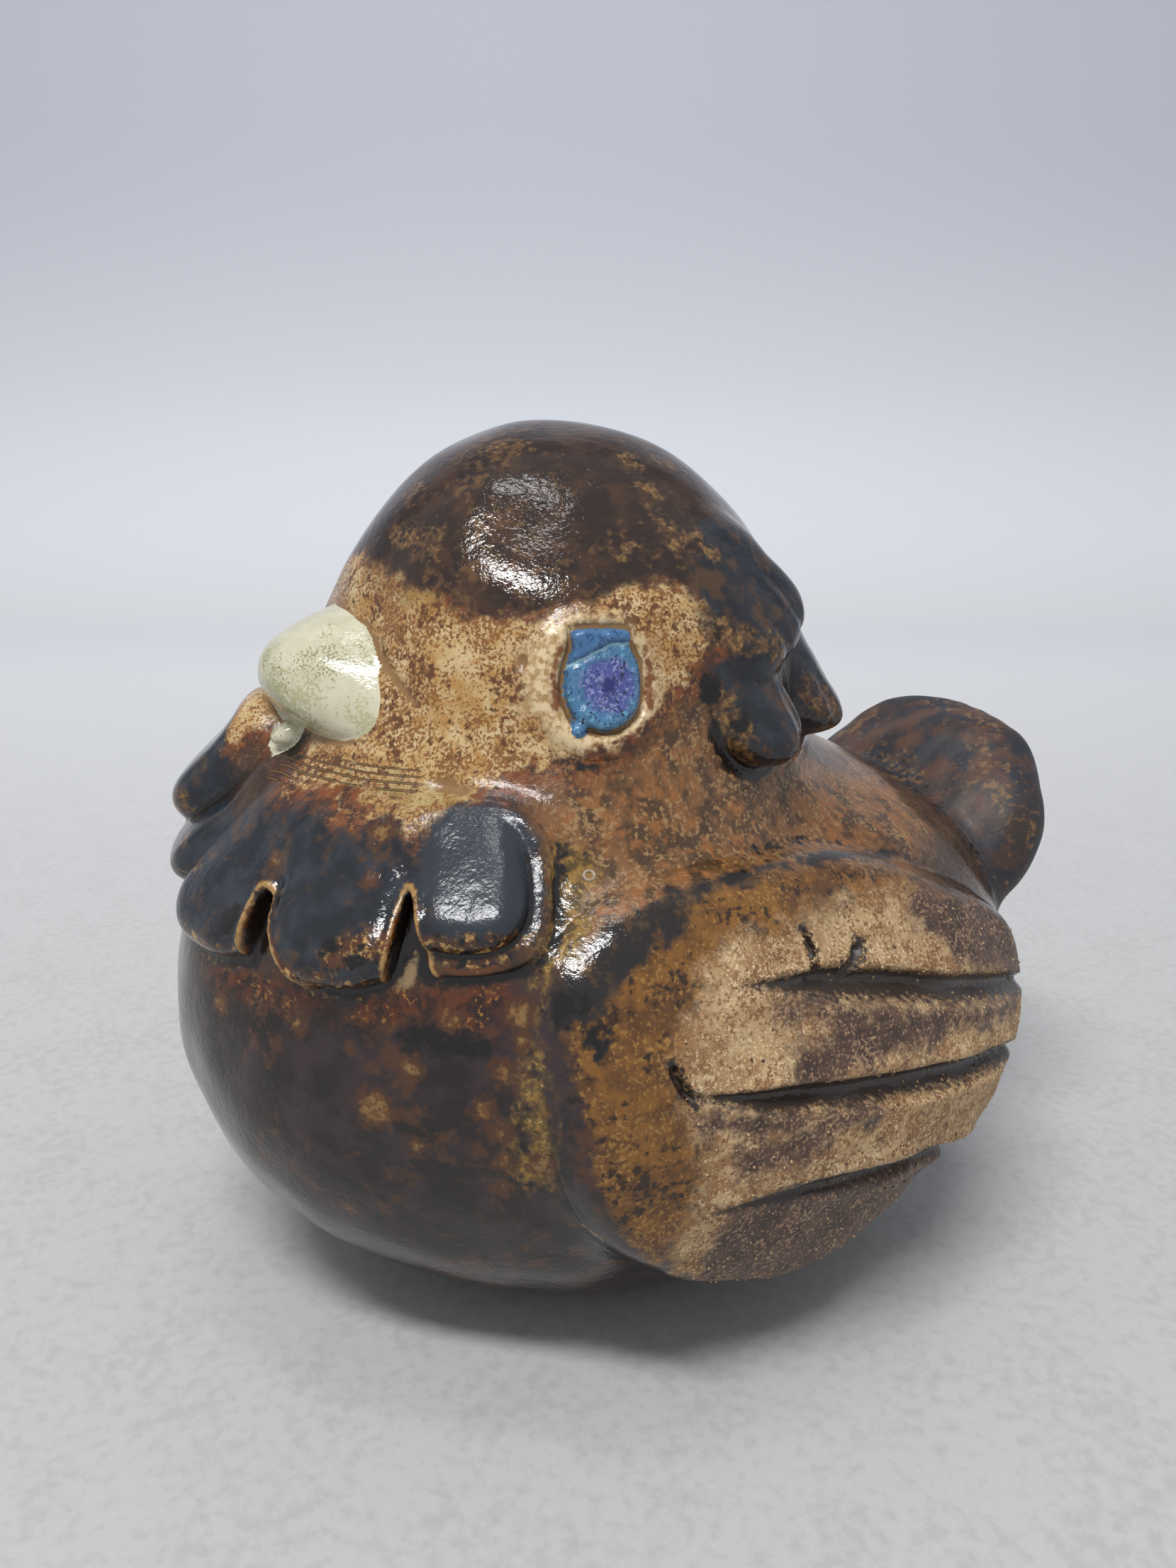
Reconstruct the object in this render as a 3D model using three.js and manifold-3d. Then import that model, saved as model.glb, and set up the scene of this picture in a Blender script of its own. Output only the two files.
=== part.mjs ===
// Hand-built stoneware bird figurine, in millimetres, +Z up.
// The bird faces -Y, its left side is +X, and the origin lies in the flat base it sits on.
// Two pinched clay bowls, the body and the head, are joined rim to rim round one hollow.
// Every other piece is pressed onto them: beak, eyes, ruff, nape tufts, wings and tail.
import * as THREE from 'three';
import { mergeVertices } from 'three/addons/utils/BufferGeometryUtils.js';
import Module from 'manifold-3d';

// Body: three blended eggs, each given by its width, length and height.
const BELLY = { width: 81, length: 93, height: 62, behind: 2, up: 27 };
const BREAST = { width: 70, length: 66, height: 58, behind: -13, up: 36 };
const RUMP = { width: 62, length: 56, height: 44, behind: 23, up: 31 };
const BODY_BLEND = 10;

// Head: one egg that blends into the body at the neck.
const HEAD = { width: 51, length: 52, height: 56, behind: -4.5, up: 64 };
const NECK_BLEND = 12;

// Clay wall, the joint between the two bowls, and the vent that lets steam out in the firing.
const WALL = 6;
const BASE_THICKNESS = 6;
const SEAM_HEIGHT = 56;
const SEAM_TILT = 5;
const VENT_DIAMETER = 6;
const VENT_BEHIND = 13;

// Gap between a pressed-on piece and what it sits on, the edge wall of a pressed-on pad,
// and how far its blank reaches into the surface before the seat is cut.
const CLEARANCE = 0.3;
const PAD_EDGE = 0.7;
const PAD_SINK = 0.9;

// Beak: a fat half egg above a small lower bill. Taper narrows it toward its tip, spread widens it
// toward its underside, and a square above 2 fills its corners.
const BEAK_WIDTH = 25.5;
const BEAK_DEPTH = 17;
const BEAK_LENGTH = 26;
const BEAK_PROUD = 6;
const BEAK_ELEVATION = 5.2;
const BEAK_TAPER = 0.22;
const BEAK_SPREAD = 0.3;
const BEAK_SQUARE = 2.7;
const BILL_WIDTH = 6.2;
const BILL_DEPTH = 4;
const BILL_LENGTH = 12;
const BILL_PROUD = 2.2;
const BILL_ELEVATION = -7;

// Eyes: a pellet inside a flattened ring, on each side of the head.
const EYE_AZIMUTH = 73.2;
const EYE_ELEVATION = 8.8;
const EYE_WIDTH = 7.4;
const EYE_HEIGHT = 8.6;
const EYE_PROUD = 1.3;
const EYE_RING_WIDTH = 2.2;
const EYE_RING_PROUD = 1.1;
const EYE_RING_FORWARD = 0.5;

// Ruff: three flattened lobes on each side of the breast. The right ones sit closer to the front
// and higher. The outermost left lobe lies on a wider, lower flange.
const RUFF_UP = 40;
const RUFF_BEHIND = -12;
const RUFF_ELEVATION = 15;
const RUFF_LOBES = {
  left: [
    { azimuth: 13, lift: 0.5, width: 17, up: 9, down: 6.7, square: 5, proud: 2.9, top: 1.3 },
    { azimuth: 41, lift: -0.5, width: 14.6, up: 9.5, down: 5.8, square: 5, proud: 3.4, top: 1.3 },
    {
      azimuth: 62, lift: 4.8, width: 11, up: 7.4, down: 5.4, square: 2.7, proud: 4, top: 2,
      flange: { width: 14.4, up: 7, down: 7.2, square: 2.6, proud: 1.5, top: 1.1 },
    },
  ],
  right: [
    { azimuth: 10, lift: 5.5, width: 13.5, up: 9, down: 6.6, square: 4, proud: 3.4, top: 1.4 },
    { azimuth: 23, lift: 13.5, width: 14, up: 10, down: 7.2, square: 3, proud: 5.8, top: 4 },
    { azimuth: 52, lift: 8, width: 12, up: 8, down: 6.4, square: 2.7, proud: 3.8, top: 2 },
  ],
};
// Knife cuts that open the left ruff from below: where the apex is, how far the cut leans toward
// the back and how wide it opens, both per length below the apex, and its width at the apex.
const KNIFE_CUTS = [
  { azimuth: 26, rise: 9.6, lean: 0.5, opening: 0.56, start: 0.6 },
  { azimuth: 53.3, rise: 11.4, lean: 0.12, opening: 0.27, start: 0.5 },
];
const KNIFE_CUT_LENGTH = 20;
const KNIFE_CUT_REACH = 60;

// Nape: an upper row of tufts over a lower row, as on combed feathers.
const NAPE_TUFTS = [
  { name: 'upper', azimuth: 118, elevation: 20, width: 14.6, up: 9, down: 5.4, proud: 3.4, top: 0.9, tilt: 26 },
  { name: 'lower', azimuth: 111, elevation: 0, width: 10.2, up: 7, down: 5.4, proud: 4.2, top: 1.8, tilt: 12 },
  { name: 'rear', azimuth: 144, elevation: 1, width: 11, up: 7, down: 5.6, proud: 4, top: 1.9, tilt: 6 },
];
const NAPE_CENTRE = {
  name: 'centre', azimuth: 180, elevation: 26, width: 15, up: 7, down: 6.5, proud: 2.8, top: 0.9,
};

// Wings: a thick pad on each flank, with its outline seen from the side.
// Outline points run from the shoulder along the front, bottom, feather tips and top.
const WING_BEHIND = 5;
const WING_UP = 2;
const WING_TILT = -14.6;
const WING_PROUD = 3.5;
const WING_TOP_PROUD = 2.9;
const WING_OUTLINE = [
  [-33, 6], [-30.5, -1.5], [-27, -9.5], [-21, -15.5], [-11.5, -20.5], [0, -22], [11, -17], [20, -10],
  [26.6, -1.5], [30, 6.5], [30.2, 14], [24, 18.5], [12, 20.5], [-1, 21.5], [-14, 19.5], [-25, 15.8], [-31, 11],
];
// Tool grooves between the feathers: path in the plane of the wing, width and depth.
const GROOVES = [
  { path: [[-16.5, 10.3], [-9, 11.5], [6, 11.6], [34, 11.2]], width: 2.4, depth: 2.1 },
  { path: [[-21.8, 1], [-16.5, 1.7], [-3, 2.8], [33, 5.1]], width: 2.5, depth: 2.3 },
  { path: [[-15.5, -9], [-5.9, -6.1], [10, -4.8], [28, -5]], width: 2.6, depth: 1.9 },
];
// Share of a groove's length over which it reaches its full depth.
const GROOVE_SWELL = 0.35;

// Tail: a thick rounded paddle that tips up steeply behind the rump.
const TAIL_WIDTH = 42;
const TAIL_LENGTH = 37;
const TAIL_THICKNESS = 19;
const TAIL_PROUD = 17.4;
const TAIL_ELEVATION = 21.5;
const TAIL_PITCH = 53;

// Fineness of the skins, in columns and rows, and of the pads, in spokes and rings.
const SKIN = { body: [44, 28], head: [40, 26], hollow: [24, 16], tail: [24, 16], beak: [20, 12], bill: [14, 8] };
const PAD_SPOKES = 16;
const WING_SPOKES = 34;
const TOP_RINGS = [0.45, 0.8, 0.95, 1];
const WING_RINGS = [0.35, 0.65, 0.86, 0.96, 1];
const BOTTOM_RINGS = [0.5, 1];
const GROOVE_STEPS = 9;
const GROOVE_SIDES = 6;
const VENT_SIDES = 20;

// Far enough to start outside the bird, and the step of a search along a ray.
const REACH = 90;
const RAY_STEP = 1.5;

const GLAZE = {
  brown: { color: 0x3d281c, roughness: 0.2, metalness: 0 },
  buff: { color: 0xc3a071, roughness: 0.45, metalness: 0 },
  blueBlack: { color: 0x23262d, roughness: 0.14, metalness: 0 },
  paleYellow: { color: 0xd9d8a8, roughness: 0.2, metalness: 0 },
  blue: { color: 0x3f79a8, roughness: 0.25, metalness: 0 },
  stoneware: { color: 0xb99a70, roughness: 0.75, metalness: 0 },
};

const wasm = await Module();
wasm.setup();

// Signed form of an egg, negative inside, tipped by pitch about the bird's left-right axis.
function egg(size, pitch = 0) {
  const { width, length, height, behind, up } = size;
  const c = Math.cos(THREE.MathUtils.degToRad(pitch));
  const s = Math.sin(THREE.MathUtils.degToRad(pitch));
  const [a, b, h] = [width / 2, length / 2, height / 2];
  return (p) => {
    const dy = p.y - behind;
    const dz = p.z - up;
    const x = p.x / a;
    const y = (c * dy + s * dz) / b;
    const z = (c * dz - s * dy) / h;
    const near = Math.hypot(x, y, z);
    const slope = Math.hypot(x / a, y / b, z / h);
    return slope < 1e-9 ? -Math.min(a, b, h) : (near * (near - 1)) / slope;
  };
}

// Smooth union of two forms.
function join(first, second, blend) {
  return (p) => {
    const a = first(p);
    const b = second(p);
    const overlap = Math.max(blend - Math.abs(a - b), 0) / blend;
    return Math.min(a, b) - (overlap * overlap * blend) / 4;
  };
}

// Unit direction from the front: azimuth turns toward the bird's left, elevation goes up.
function heading(azimuth, elevation) {
  const a = THREE.MathUtils.degToRad(azimuth);
  const e = THREE.MathUtils.degToRad(elevation);
  return new THREE.Vector3(Math.sin(a) * Math.cos(e), -Math.cos(a) * Math.cos(e), Math.sin(e));
}

// First point where a ray from outside meets the form at the given height above its surface.
function landing(form, start, direction, lift) {
  const p = start.clone();
  let far = 0;
  while (form(p) > lift && far < 2 * REACH) {
    far += RAY_STEP;
    p.copy(start).addScaledVector(direction, far);
  }
  let near = far - RAY_STEP;
  for (let i = 0; i < 24; i += 1) {
    const middle = (near + far) / 2;
    p.copy(start).addScaledVector(direction, middle);
    if (form(p) > lift) near = middle;
    else far = middle;
  }
  return p.copy(start).addScaledVector(direction, far);
}

// Point on the form seen from an inner centre in a direction.
function seatOf(form, centre, direction) {
  const outside = centre.clone().addScaledVector(direction, REACH);
  return landing(form, outside, direction.clone().negate(), 0);
}

// Closed skin of a form, found along rays that leave an inner centre. The rows of rays are tipped
// by pitch, so that they run along the rim of a tipped form.
function skin(form, centre, [columns, rows], pitch = 0) {
  const geometry = new THREE.SphereGeometry(1, columns, rows);
  geometry.rotateX(Math.PI / 2 + THREE.MathUtils.degToRad(pitch));
  geometry.deleteAttribute('normal');
  geometry.deleteAttribute('uv');
  const merged = mergeVertices(geometry, 1e-5);
  const position = merged.getAttribute('position');
  const direction = new THREE.Vector3();
  const p = new THREE.Vector3();
  for (let i = 0; i < position.count; i += 1) {
    direction.fromBufferAttribute(position, i).normalize();
    let near = 0;
    let far = RAY_STEP;
    while (form(p.copy(centre).addScaledVector(direction, far)) < 0) {
      near = far;
      far += RAY_STEP;
    }
    for (let k = 0; k < 24; k += 1) {
      const middle = (near + far) / 2;
      if (form(p.copy(centre).addScaledVector(direction, middle)) < 0) near = middle;
      else far = middle;
    }
    p.copy(centre).addScaledVector(direction, near);
    position.setXYZ(i, p.x, p.y, p.z);
  }
  return merged;
}

// Tongue outline: flat-sided above its middle, round below.
function tongue({ width, up, down, square = 2.4 }, spokes) {
  const points = [];
  for (let i = 0; i < spokes; i += 1) {
    const angle = (i / spokes) * 2 * Math.PI;
    const c = Math.abs(Math.cos(angle)) / (width / 2);
    const s = Math.sin(angle);
    const power = s > 0 ? square : 2;
    const radius = (c ** power + (Math.abs(s) / (s > 0 ? up : down)) ** power) ** (-1 / power);
    points.push([radius * Math.cos(angle), radius * s]);
  }
  return points;
}

// Smooth closed outline through hand-set points.
function smoothLoop(points, spokes) {
  const corners = points.map(([u, v]) => new THREE.Vector3(u, v, 0));
  const curve = new THREE.CatmullRomCurve3(corners, true, 'catmullrom', 0.5);
  return curve.getPoints(spokes).slice(0, spokes).map((p) => [p.x, p.y]);
}

// Axes of a pad: u runs round the bird, v up, both turned by tilt, and n points out.
function padAxes(azimuth, elevation, tilt) {
  const n = heading(azimuth, elevation);
  const flat = new THREE.Vector3(0, 0, 1).cross(n).normalize();
  const rise = n.clone().cross(flat);
  const t = THREE.MathUtils.degToRad(tilt);
  const u = flat.clone().multiplyScalar(Math.cos(t)).addScaledVector(rise, Math.sin(t));
  const v = rise.clone().multiplyScalar(Math.cos(t)).addScaledVector(flat, -Math.sin(t));
  return { u, v, n };
}

// Clay pad pressed onto the form, with a rounded edge. Its blank reaches a little inside,
// and seated() cuts its underside to the surface.
// With a margin it gives the same blank grown all round, to cut room for it in a neighbour.
class Pad {
  constructor(form, { centre, azimuth, elevation, tilt = 0, outline, proud, top = proud, rings }) {
    Object.assign(this, { form, centre, outline, proud, top, rings: rings ?? TOP_RINGS });
    Object.assign(this, padAxes(azimuth, elevation, tilt));
    this.low = Math.min(...outline.map(([, v]) => v));
    this.high = Math.max(...outline.map(([, v]) => v));
  }

  crest(v) {
    const t = THREE.MathUtils.clamp((v - this.low) / (this.high - this.low), 0, 1);
    return THREE.MathUtils.lerp(this.proud, this.top, t * t * (3 - 2 * t));
  }

  at([u, v], lift) {
    const start = this.centre.clone().addScaledVector(this.u, u).addScaledVector(this.v, v);
    return landing(this.form, start.addScaledVector(this.n, REACH), this.n.clone().negate(), lift);
  }

  geometry(margin = 0) {
    const outline = this.outline.map(([u, v]) => {
      const grown = 1 + margin / Math.hypot(u, v);
      return [u * grown, v * grown];
    });
    const under = -PAD_SINK - margin;
    const positions = [];
    const ringAt = (ratio, lift) => outline.forEach(([u, v]) => {
      positions.push(...this.at([u * ratio, v * ratio], lift(ratio, v * ratio)));
    });
    const over = (ratio, v) => {
      const edge = Math.min(PAD_EDGE, this.crest(v));
      return margin + edge + (this.crest(v) - edge) * Math.sqrt(1 - ratio ** 4);
    };
    positions.push(...this.at([0, 0], over(0, 0)));
    this.rings.forEach((ratio) => ringAt(ratio, over));
    [...BOTTOM_RINGS].reverse().forEach((ratio) => ringAt(ratio, () => under));
    positions.push(...this.at([0, 0], under));

    const spokes = outline.length;
    const rings = this.rings.length + BOTTOM_RINGS.length;
    const last = 1 + rings * spokes;
    const index = [];
    for (let i = 0; i < spokes; i += 1) {
      const next = (i + 1) % spokes;
      index.push(0, 1 + i, 1 + next);
      for (let ring = 0; ring < rings - 1; ring += 1) {
        const a = 1 + ring * spokes;
        index.push(a + i, a + spokes + i, a + spokes + next, a + i, a + spokes + next, a + next);
      }
      index.push(last - spokes + i, last, last - spokes + next);
    }
    const geometry = new THREE.BufferGeometry();
    geometry.setAttribute('position', new THREE.Float32BufferAttribute(positions, 3));
    geometry.setIndex(index);
    return geometry;
  }
}

// Tapered round bar through points, as a groove tool leaves its mark.
// Each ring has a half width across the surface and a half depth along its normal.
function bar(stations) {
  const positions = [...stations[0].point];
  stations.forEach(({ point, side, normal, half, deep }) => {
    for (let i = 0; i < GROOVE_SIDES; i += 1) {
      const angle = (i / GROOVE_SIDES) * 2 * Math.PI;
      const p = point.clone().addScaledVector(side, half * Math.cos(angle));
      positions.push(...p.addScaledVector(normal, deep * Math.sin(angle)));
    }
  });
  positions.push(...stations.at(-1).point);
  const last = 1 + stations.length * GROOVE_SIDES;
  const index = [];
  for (let i = 0; i < GROOVE_SIDES; i += 1) {
    const next = (i + 1) % GROOVE_SIDES;
    index.push(0, 1 + next, 1 + i);
    for (let ring = 0; ring < stations.length - 1; ring += 1) {
      const a = 1 + ring * GROOVE_SIDES;
      const b = a + GROOVE_SIDES;
      index.push(a + i, a + next, b + next, a + i, b + next, b + i);
    }
    index.push(last - GROOVE_SIDES + i, last - GROOVE_SIDES + next, last);
  }
  const geometry = new THREE.BufferGeometry();
  geometry.setAttribute('position', new THREE.Float32BufferAttribute(positions, 3));
  geometry.setIndex(index);
  return geometry;
}

function solid(geometry) {
  const bare = geometry.clone();
  bare.deleteAttribute('normal');
  bare.deleteAttribute('uv');
  const merged = mergeVertices(bare, 1e-5);
  const vertProperties = new Float32Array(merged.getAttribute('position').array);
  const triVerts = new Uint32Array(merged.getIndex().array);
  return new wasm.Manifold(new wasm.Mesh({ numProp: 3, vertProperties, triVerts }));
}

const bird = new THREE.Group();

function addPiece(name, shape, glaze, mirrored = false) {
  const { vertProperties, triVerts } = shape.getMesh();
  const positions = Float32Array.from(vertProperties);
  const index = Array.from(triVerts);
  if (mirrored) {
    for (let i = 0; i < positions.length; i += 3) positions[i] = -positions[i];
    for (let i = 0; i < index.length; i += 3) [index[i], index[i + 1]] = [index[i + 1], index[i]];
  }
  const geometry = new THREE.BufferGeometry();
  geometry.setAttribute('position', new THREE.BufferAttribute(positions, 3));
  geometry.setIndex(index);
  geometry.computeVertexNormals();
  const mesh = new THREE.Mesh(geometry, new THREE.MeshStandardMaterial(glaze));
  mesh.name = name;
  bird.add(mesh);
}

// The whole clay form without its applied pieces, and the hollow inside its wall.
const headForm = egg(HEAD);
const bodyForm = join(join(egg(BELLY), egg(BREAST), BODY_BLEND), egg(RUMP), BODY_BLEND);
const coreForm = join(bodyForm, headForm, NECK_BLEND);
const hollowForm = (p) => Math.max(coreForm(p) + WALL, BASE_THICKNESS - p.z);
const bodyCentre = new THREE.Vector3(0, BELLY.behind, BELLY.up);
const headCentre = new THREE.Vector3(0, HEAD.behind, HEAD.up);
const rumpCentre = new THREE.Vector3(0, RUMP.behind, RUMP.up);

// Everything on one side of the joint between the bowls, or below the table top.
function slab(above, height, tilt) {
  const box = new THREE.BoxGeometry(2 * REACH, 2 * REACH, REACH);
  box.translate(0, 0, above ? REACH / 2 : -REACH / 2);
  box.rotateX(THREE.MathUtils.degToRad(tilt));
  return solid(box.translate(0, HEAD.behind, height));
}

// Body and head bowls, with the vent in the base.
function bowls() {
  const hollow = solid(skin(hollowForm, bodyCentre.clone().lerp(headCentre, 0.25), SKIN.hollow));
  const vent = new THREE.CylinderGeometry(VENT_DIAMETER / 2, VENT_DIAMETER / 2, 4 * BASE_THICKNESS, VENT_SIDES);
  vent.rotateX(Math.PI / 2).translate(0, VENT_BEHIND, 0);
  const body = solid(skin(coreForm, bodyCentre, SKIN.body))
    .subtract(slab(false, 0, 0))
    .subtract(slab(true, SEAM_HEIGHT - CLEARANCE / 2, SEAM_TILT))
    .subtract(hollow)
    .subtract(solid(vent));
  const head = solid(skin(coreForm, headCentre, SKIN.head))
    .subtract(slab(false, SEAM_HEIGHT + CLEARANCE / 2, SEAM_TILT))
    .subtract(hollow);
  addPiece('body', body, GLAZE.brown);
  addPiece('head', head, GLAZE.buff);
}

// The outer form grown by the seating gap, to cut the underside of a piece that sits on it.
const grownCore = (p) => coreForm(p) - CLEARANCE;
const grownHead = solid(skin(grownCore, headCentre, SKIN.head));
const grownBody = solid(skin(grownCore, bodyCentre, SKIN.body));
const seated = (shape) => shape.subtract(grownBody).subtract(grownHead);

// Egg pressed into the surface so that it stands proud by the given height.
function pressedEgg(shape) {
  const { centre, direction, width, length, depth, proud, pitch, fine } = shape;
  const { taper = 0, spread = 0, square = 2, margin = 0 } = shape;
  const seat = seatOf(coreForm, centre, direction);
  const middle = seat.addScaledVector(direction, proud - length / 2);
  const size = {
    width: width + 2 * margin,
    length: length + 2 * margin,
    height: depth + 2 * margin,
    behind: 0,
    up: 0,
  };
  const plain = egg(size);
  const turn = new THREE.Matrix4().makeRotationX(THREE.MathUtils.degToRad(-pitch));
  const local = new THREE.Vector3();
  const form = (p) => {
    local.copy(p).sub(middle).applyMatrix4(turn);
    const along = THREE.MathUtils.clamp(Math.abs(local.y) / (length / 2), 0, 1);
    const narrow = 1 - taper * along;
    const wide = narrow * (1 - spread * THREE.MathUtils.clamp(local.z / (depth / 2), -1, 1));
    const [x, z] = [local.x / wide / size.width, local.z / narrow / size.height];
    const corner = (Math.abs(x) ** square + Math.abs(z) ** square) ** (1 / square) / (Math.hypot(x, z) || 1);
    local.set(x * corner * size.width, local.y, z * corner * size.height);
    return plain(local);
  };
  return solid(skin(form, middle, fine, pitch));
}

const upperBeak = {
  centre: headCentre, direction: heading(0, BEAK_ELEVATION), width: BEAK_WIDTH, length: BEAK_LENGTH,
  depth: BEAK_DEPTH, proud: BEAK_PROUD, pitch: -BEAK_ELEVATION, taper: BEAK_TAPER, spread: BEAK_SPREAD,
  square: BEAK_SQUARE, fine: SKIN.beak,
};
const lowerBill = {
  centre: headCentre, direction: heading(0, BILL_ELEVATION), width: BILL_WIDTH, length: BILL_LENGTH,
  depth: BILL_DEPTH, proud: BILL_PROUD, pitch: -BILL_ELEVATION, fine: SKIN.bill,
};
const beakRoom = pressedEgg({ ...upperBeak, margin: CLEARANCE });
const billRoom = pressedEgg({ ...lowerBill, margin: CLEARANCE });

function beak() {
  addPiece('beak_upper', seated(pressedEgg(upperBeak)), GLAZE.paleYellow);
  addPiece('beak_lower', seated(pressedEgg(lowerBill)).subtract(beakRoom), GLAZE.paleYellow);
}

function eyes() {
  const place = { centre: headCentre, azimuth: EYE_AZIMUTH, elevation: EYE_ELEVATION };
  const disc = (extra) => tongue({
    width: EYE_WIDTH + 2 * extra, up: EYE_HEIGHT / 2 + extra, down: EYE_HEIGHT / 2 + extra, square: 2,
  }, PAD_SPOKES);
  const pellet = new Pad(coreForm, { ...place, outline: disc(0), proud: EYE_PROUD });
  const wide = disc(CLEARANCE + EYE_RING_WIDTH).map(([u, v]) => [u - EYE_RING_FORWARD, v]);
  const ring = new Pad(coreForm, { ...place, outline: wide, proud: EYE_RING_PROUD });
  const opening = new Pad(coreForm, { ...place, outline: disc(CLEARANCE), proud: 2 * EYE_PROUD });
  const annulus = seated(solid(ring.geometry())).subtract(solid(opening.geometry(CLEARANCE)));
  for (const side of ['left', 'right']) {
    addPiece(`eye_ring_${side}`, annulus, GLAZE.buff, side === 'right');
    addPiece(`eye_${side}`, seated(solid(pellet.geometry())), GLAZE.blue, side === 'right');
  }
}

// Mirror image of a solid, for the bird's right side.
const mirrorOf = (shape) => shape.mirror([1, 0, 0]);

// Pads laid one after another: each later one is cut clear of those already there.
function layPads(items, glaze) {
  const laid = [];
  for (const { name, pads, right, cuts = [] } of items) {
    const side = (shape) => (right ? mirrorOf(shape) : shape);
    const whole = (margin) => pads.map((pad) => side(solid(pad.geometry(margin)))).reduce((a, b) => a.add(b));
    let shape = seated(whole(0));
    for (const room of [...laid, ...cuts]) shape = shape.subtract(room);
    laid.push(whole(CLEARANCE));
    addPiece(name, shape, glaze);
  }
}

// Wedge that a knife takes out of the ruff, opening downward from its apex.
function knifeCut({ azimuth, rise, lean, opening, start }) {
  const low = KNIFE_CUT_LENGTH;
  const outline = [
    [-start / 2, 0], [(lean - opening) * low - start / 2, -low],
    [(lean + opening) * low + start / 2, -low], [start / 2, 0],
  ];
  const face = new THREE.Shape(outline.map(([across, up]) => new THREE.Vector2(across, up)));
  const wedge = new THREE.ExtrudeGeometry(face, { depth: KNIFE_CUT_REACH, bevelEnabled: false });
  wedge.rotateX(Math.PI / 2).rotateZ(THREE.MathUtils.degToRad(azimuth));
  return solid(wedge.translate(0, RUFF_BEHIND, RUFF_UP + rise));
}

function ruff() {
  const centre = new THREE.Vector3(0, RUFF_BEHIND, RUFF_UP);
  const rooms = [beakRoom, billRoom];
  const cuts = KNIFE_CUTS.map(knifeCut);
  const lobePad = (lobe) => new Pad(coreForm, {
    centre, elevation: RUFF_ELEVATION + lobe.lift, outline: tongue(lobe, PAD_SPOKES), ...lobe,
  });
  const items = [];
  for (const [side, lobes] of Object.entries(RUFF_LOBES)) {
    const right = side === 'right';
    lobes.forEach((lobe, i) => {
      const pads = [lobePad(lobe)];
      if (lobe.flange) pads.push(lobePad({ ...lobe, ...lobe.flange }));
      items.push({ name: `ruff_${side}_${i + 1}`, pads, right, cuts: right ? rooms : [...rooms, ...cuts] });
    });
  }
  layPads(items, GLAZE.blueBlack);
}

function nape() {
  const make = (tuft) => new Pad(coreForm, { centre: headCentre, ...tuft, outline: tongue(tuft, PAD_SPOKES) });
  const items = [];
  for (const tuft of NAPE_TUFTS) {
    const pads = [make(tuft)];
    items.push({ name: `nape_${tuft.name}_left`, pads });
    items.push({ name: `nape_${tuft.name}_right`, pads, right: true });
  }
  items.push({ name: `nape_${NAPE_CENTRE.name}`, pads: [make(NAPE_CENTRE)] });
  layPads(items, GLAZE.blueBlack);
}

// Groove tool along the wing's surface: pointed at its start, open at the feather tips.
function groove(pad, { path, width, depth }) {
  const curve = new THREE.CatmullRomCurve3(path.map(([u, v]) => new THREE.Vector3(u, v, 0)));
  const stations = [];
  for (let i = 0; i <= GROOVE_STEPS; i += 1) {
    const t = i / GROOVE_STEPS;
    const place = curve.getPoint(t);
    const uv = [place.x, place.y];
    const lift = pad.crest(uv[1]);
    const point = pad.at(uv, lift);
    const away = pad.at([uv[0] + 0.5, uv[1]], lift).sub(point).normalize();
    const across = pad.at([uv[0], uv[1] + 0.5], lift).sub(point).normalize();
    const normal = away.clone().cross(across).normalize();
    const swell = 0.15 + 0.85 * Math.min(1, t / GROOVE_SWELL);
    stations.push({ point, side: across, normal, half: (width / 2) * swell, deep: depth * swell });
  }
  return solid(bar(stations));
}

const wingPad = new Pad(coreForm, {
  centre: new THREE.Vector3(0, BELLY.behind + WING_BEHIND, BELLY.up + WING_UP),
  azimuth: 90,
  elevation: 0,
  tilt: WING_TILT,
  outline: smoothLoop(WING_OUTLINE, WING_SPOKES),
  proud: WING_PROUD,
  top: WING_TOP_PROUD,
  rings: WING_RINGS,
});

function wings() {
  let wing = seated(solid(wingPad.geometry()));
  for (const mark of GROOVES) wing = wing.subtract(groove(wingPad, mark));
  addPiece('wing_left', wing, GLAZE.stoneware);
  addPiece('wing_right', mirrorOf(wing), GLAZE.stoneware);
}

function tail() {
  const room = solid(wingPad.geometry(CLEARANCE));
  const shape = pressedEgg({
    centre: rumpCentre, direction: heading(180, TAIL_ELEVATION), width: TAIL_WIDTH, length: TAIL_LENGTH,
    depth: TAIL_THICKNESS, proud: TAIL_PROUD, pitch: TAIL_PITCH, fine: SKIN.tail,
  });
  addPiece('tail', shape.subtract(grownBody).subtract(room).subtract(mirrorOf(room)), GLAZE.brown);
}

bowls();
beak();
eyes();
ruff();
nape();
wings();
tail();

export default bird;
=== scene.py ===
# %% [markdown]
# # A small stoneware bird, built up from clay and glaze
#
# The real bird is hand-built stoneware: two pinched bowls joined rim to rim make the body and the
# head, and a beak, eyes, a ruff, nape tufts, wings and a tail are pressed on before the firing.
# The CAD model holds those solids. This file gives each of them its fired surface.
# Everything is worked out in millimetres and turned to metres only when a mesh is made.

# %% The CAD frame and its size
import math
from concurrent.futures import ThreadPoolExecutor

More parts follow.
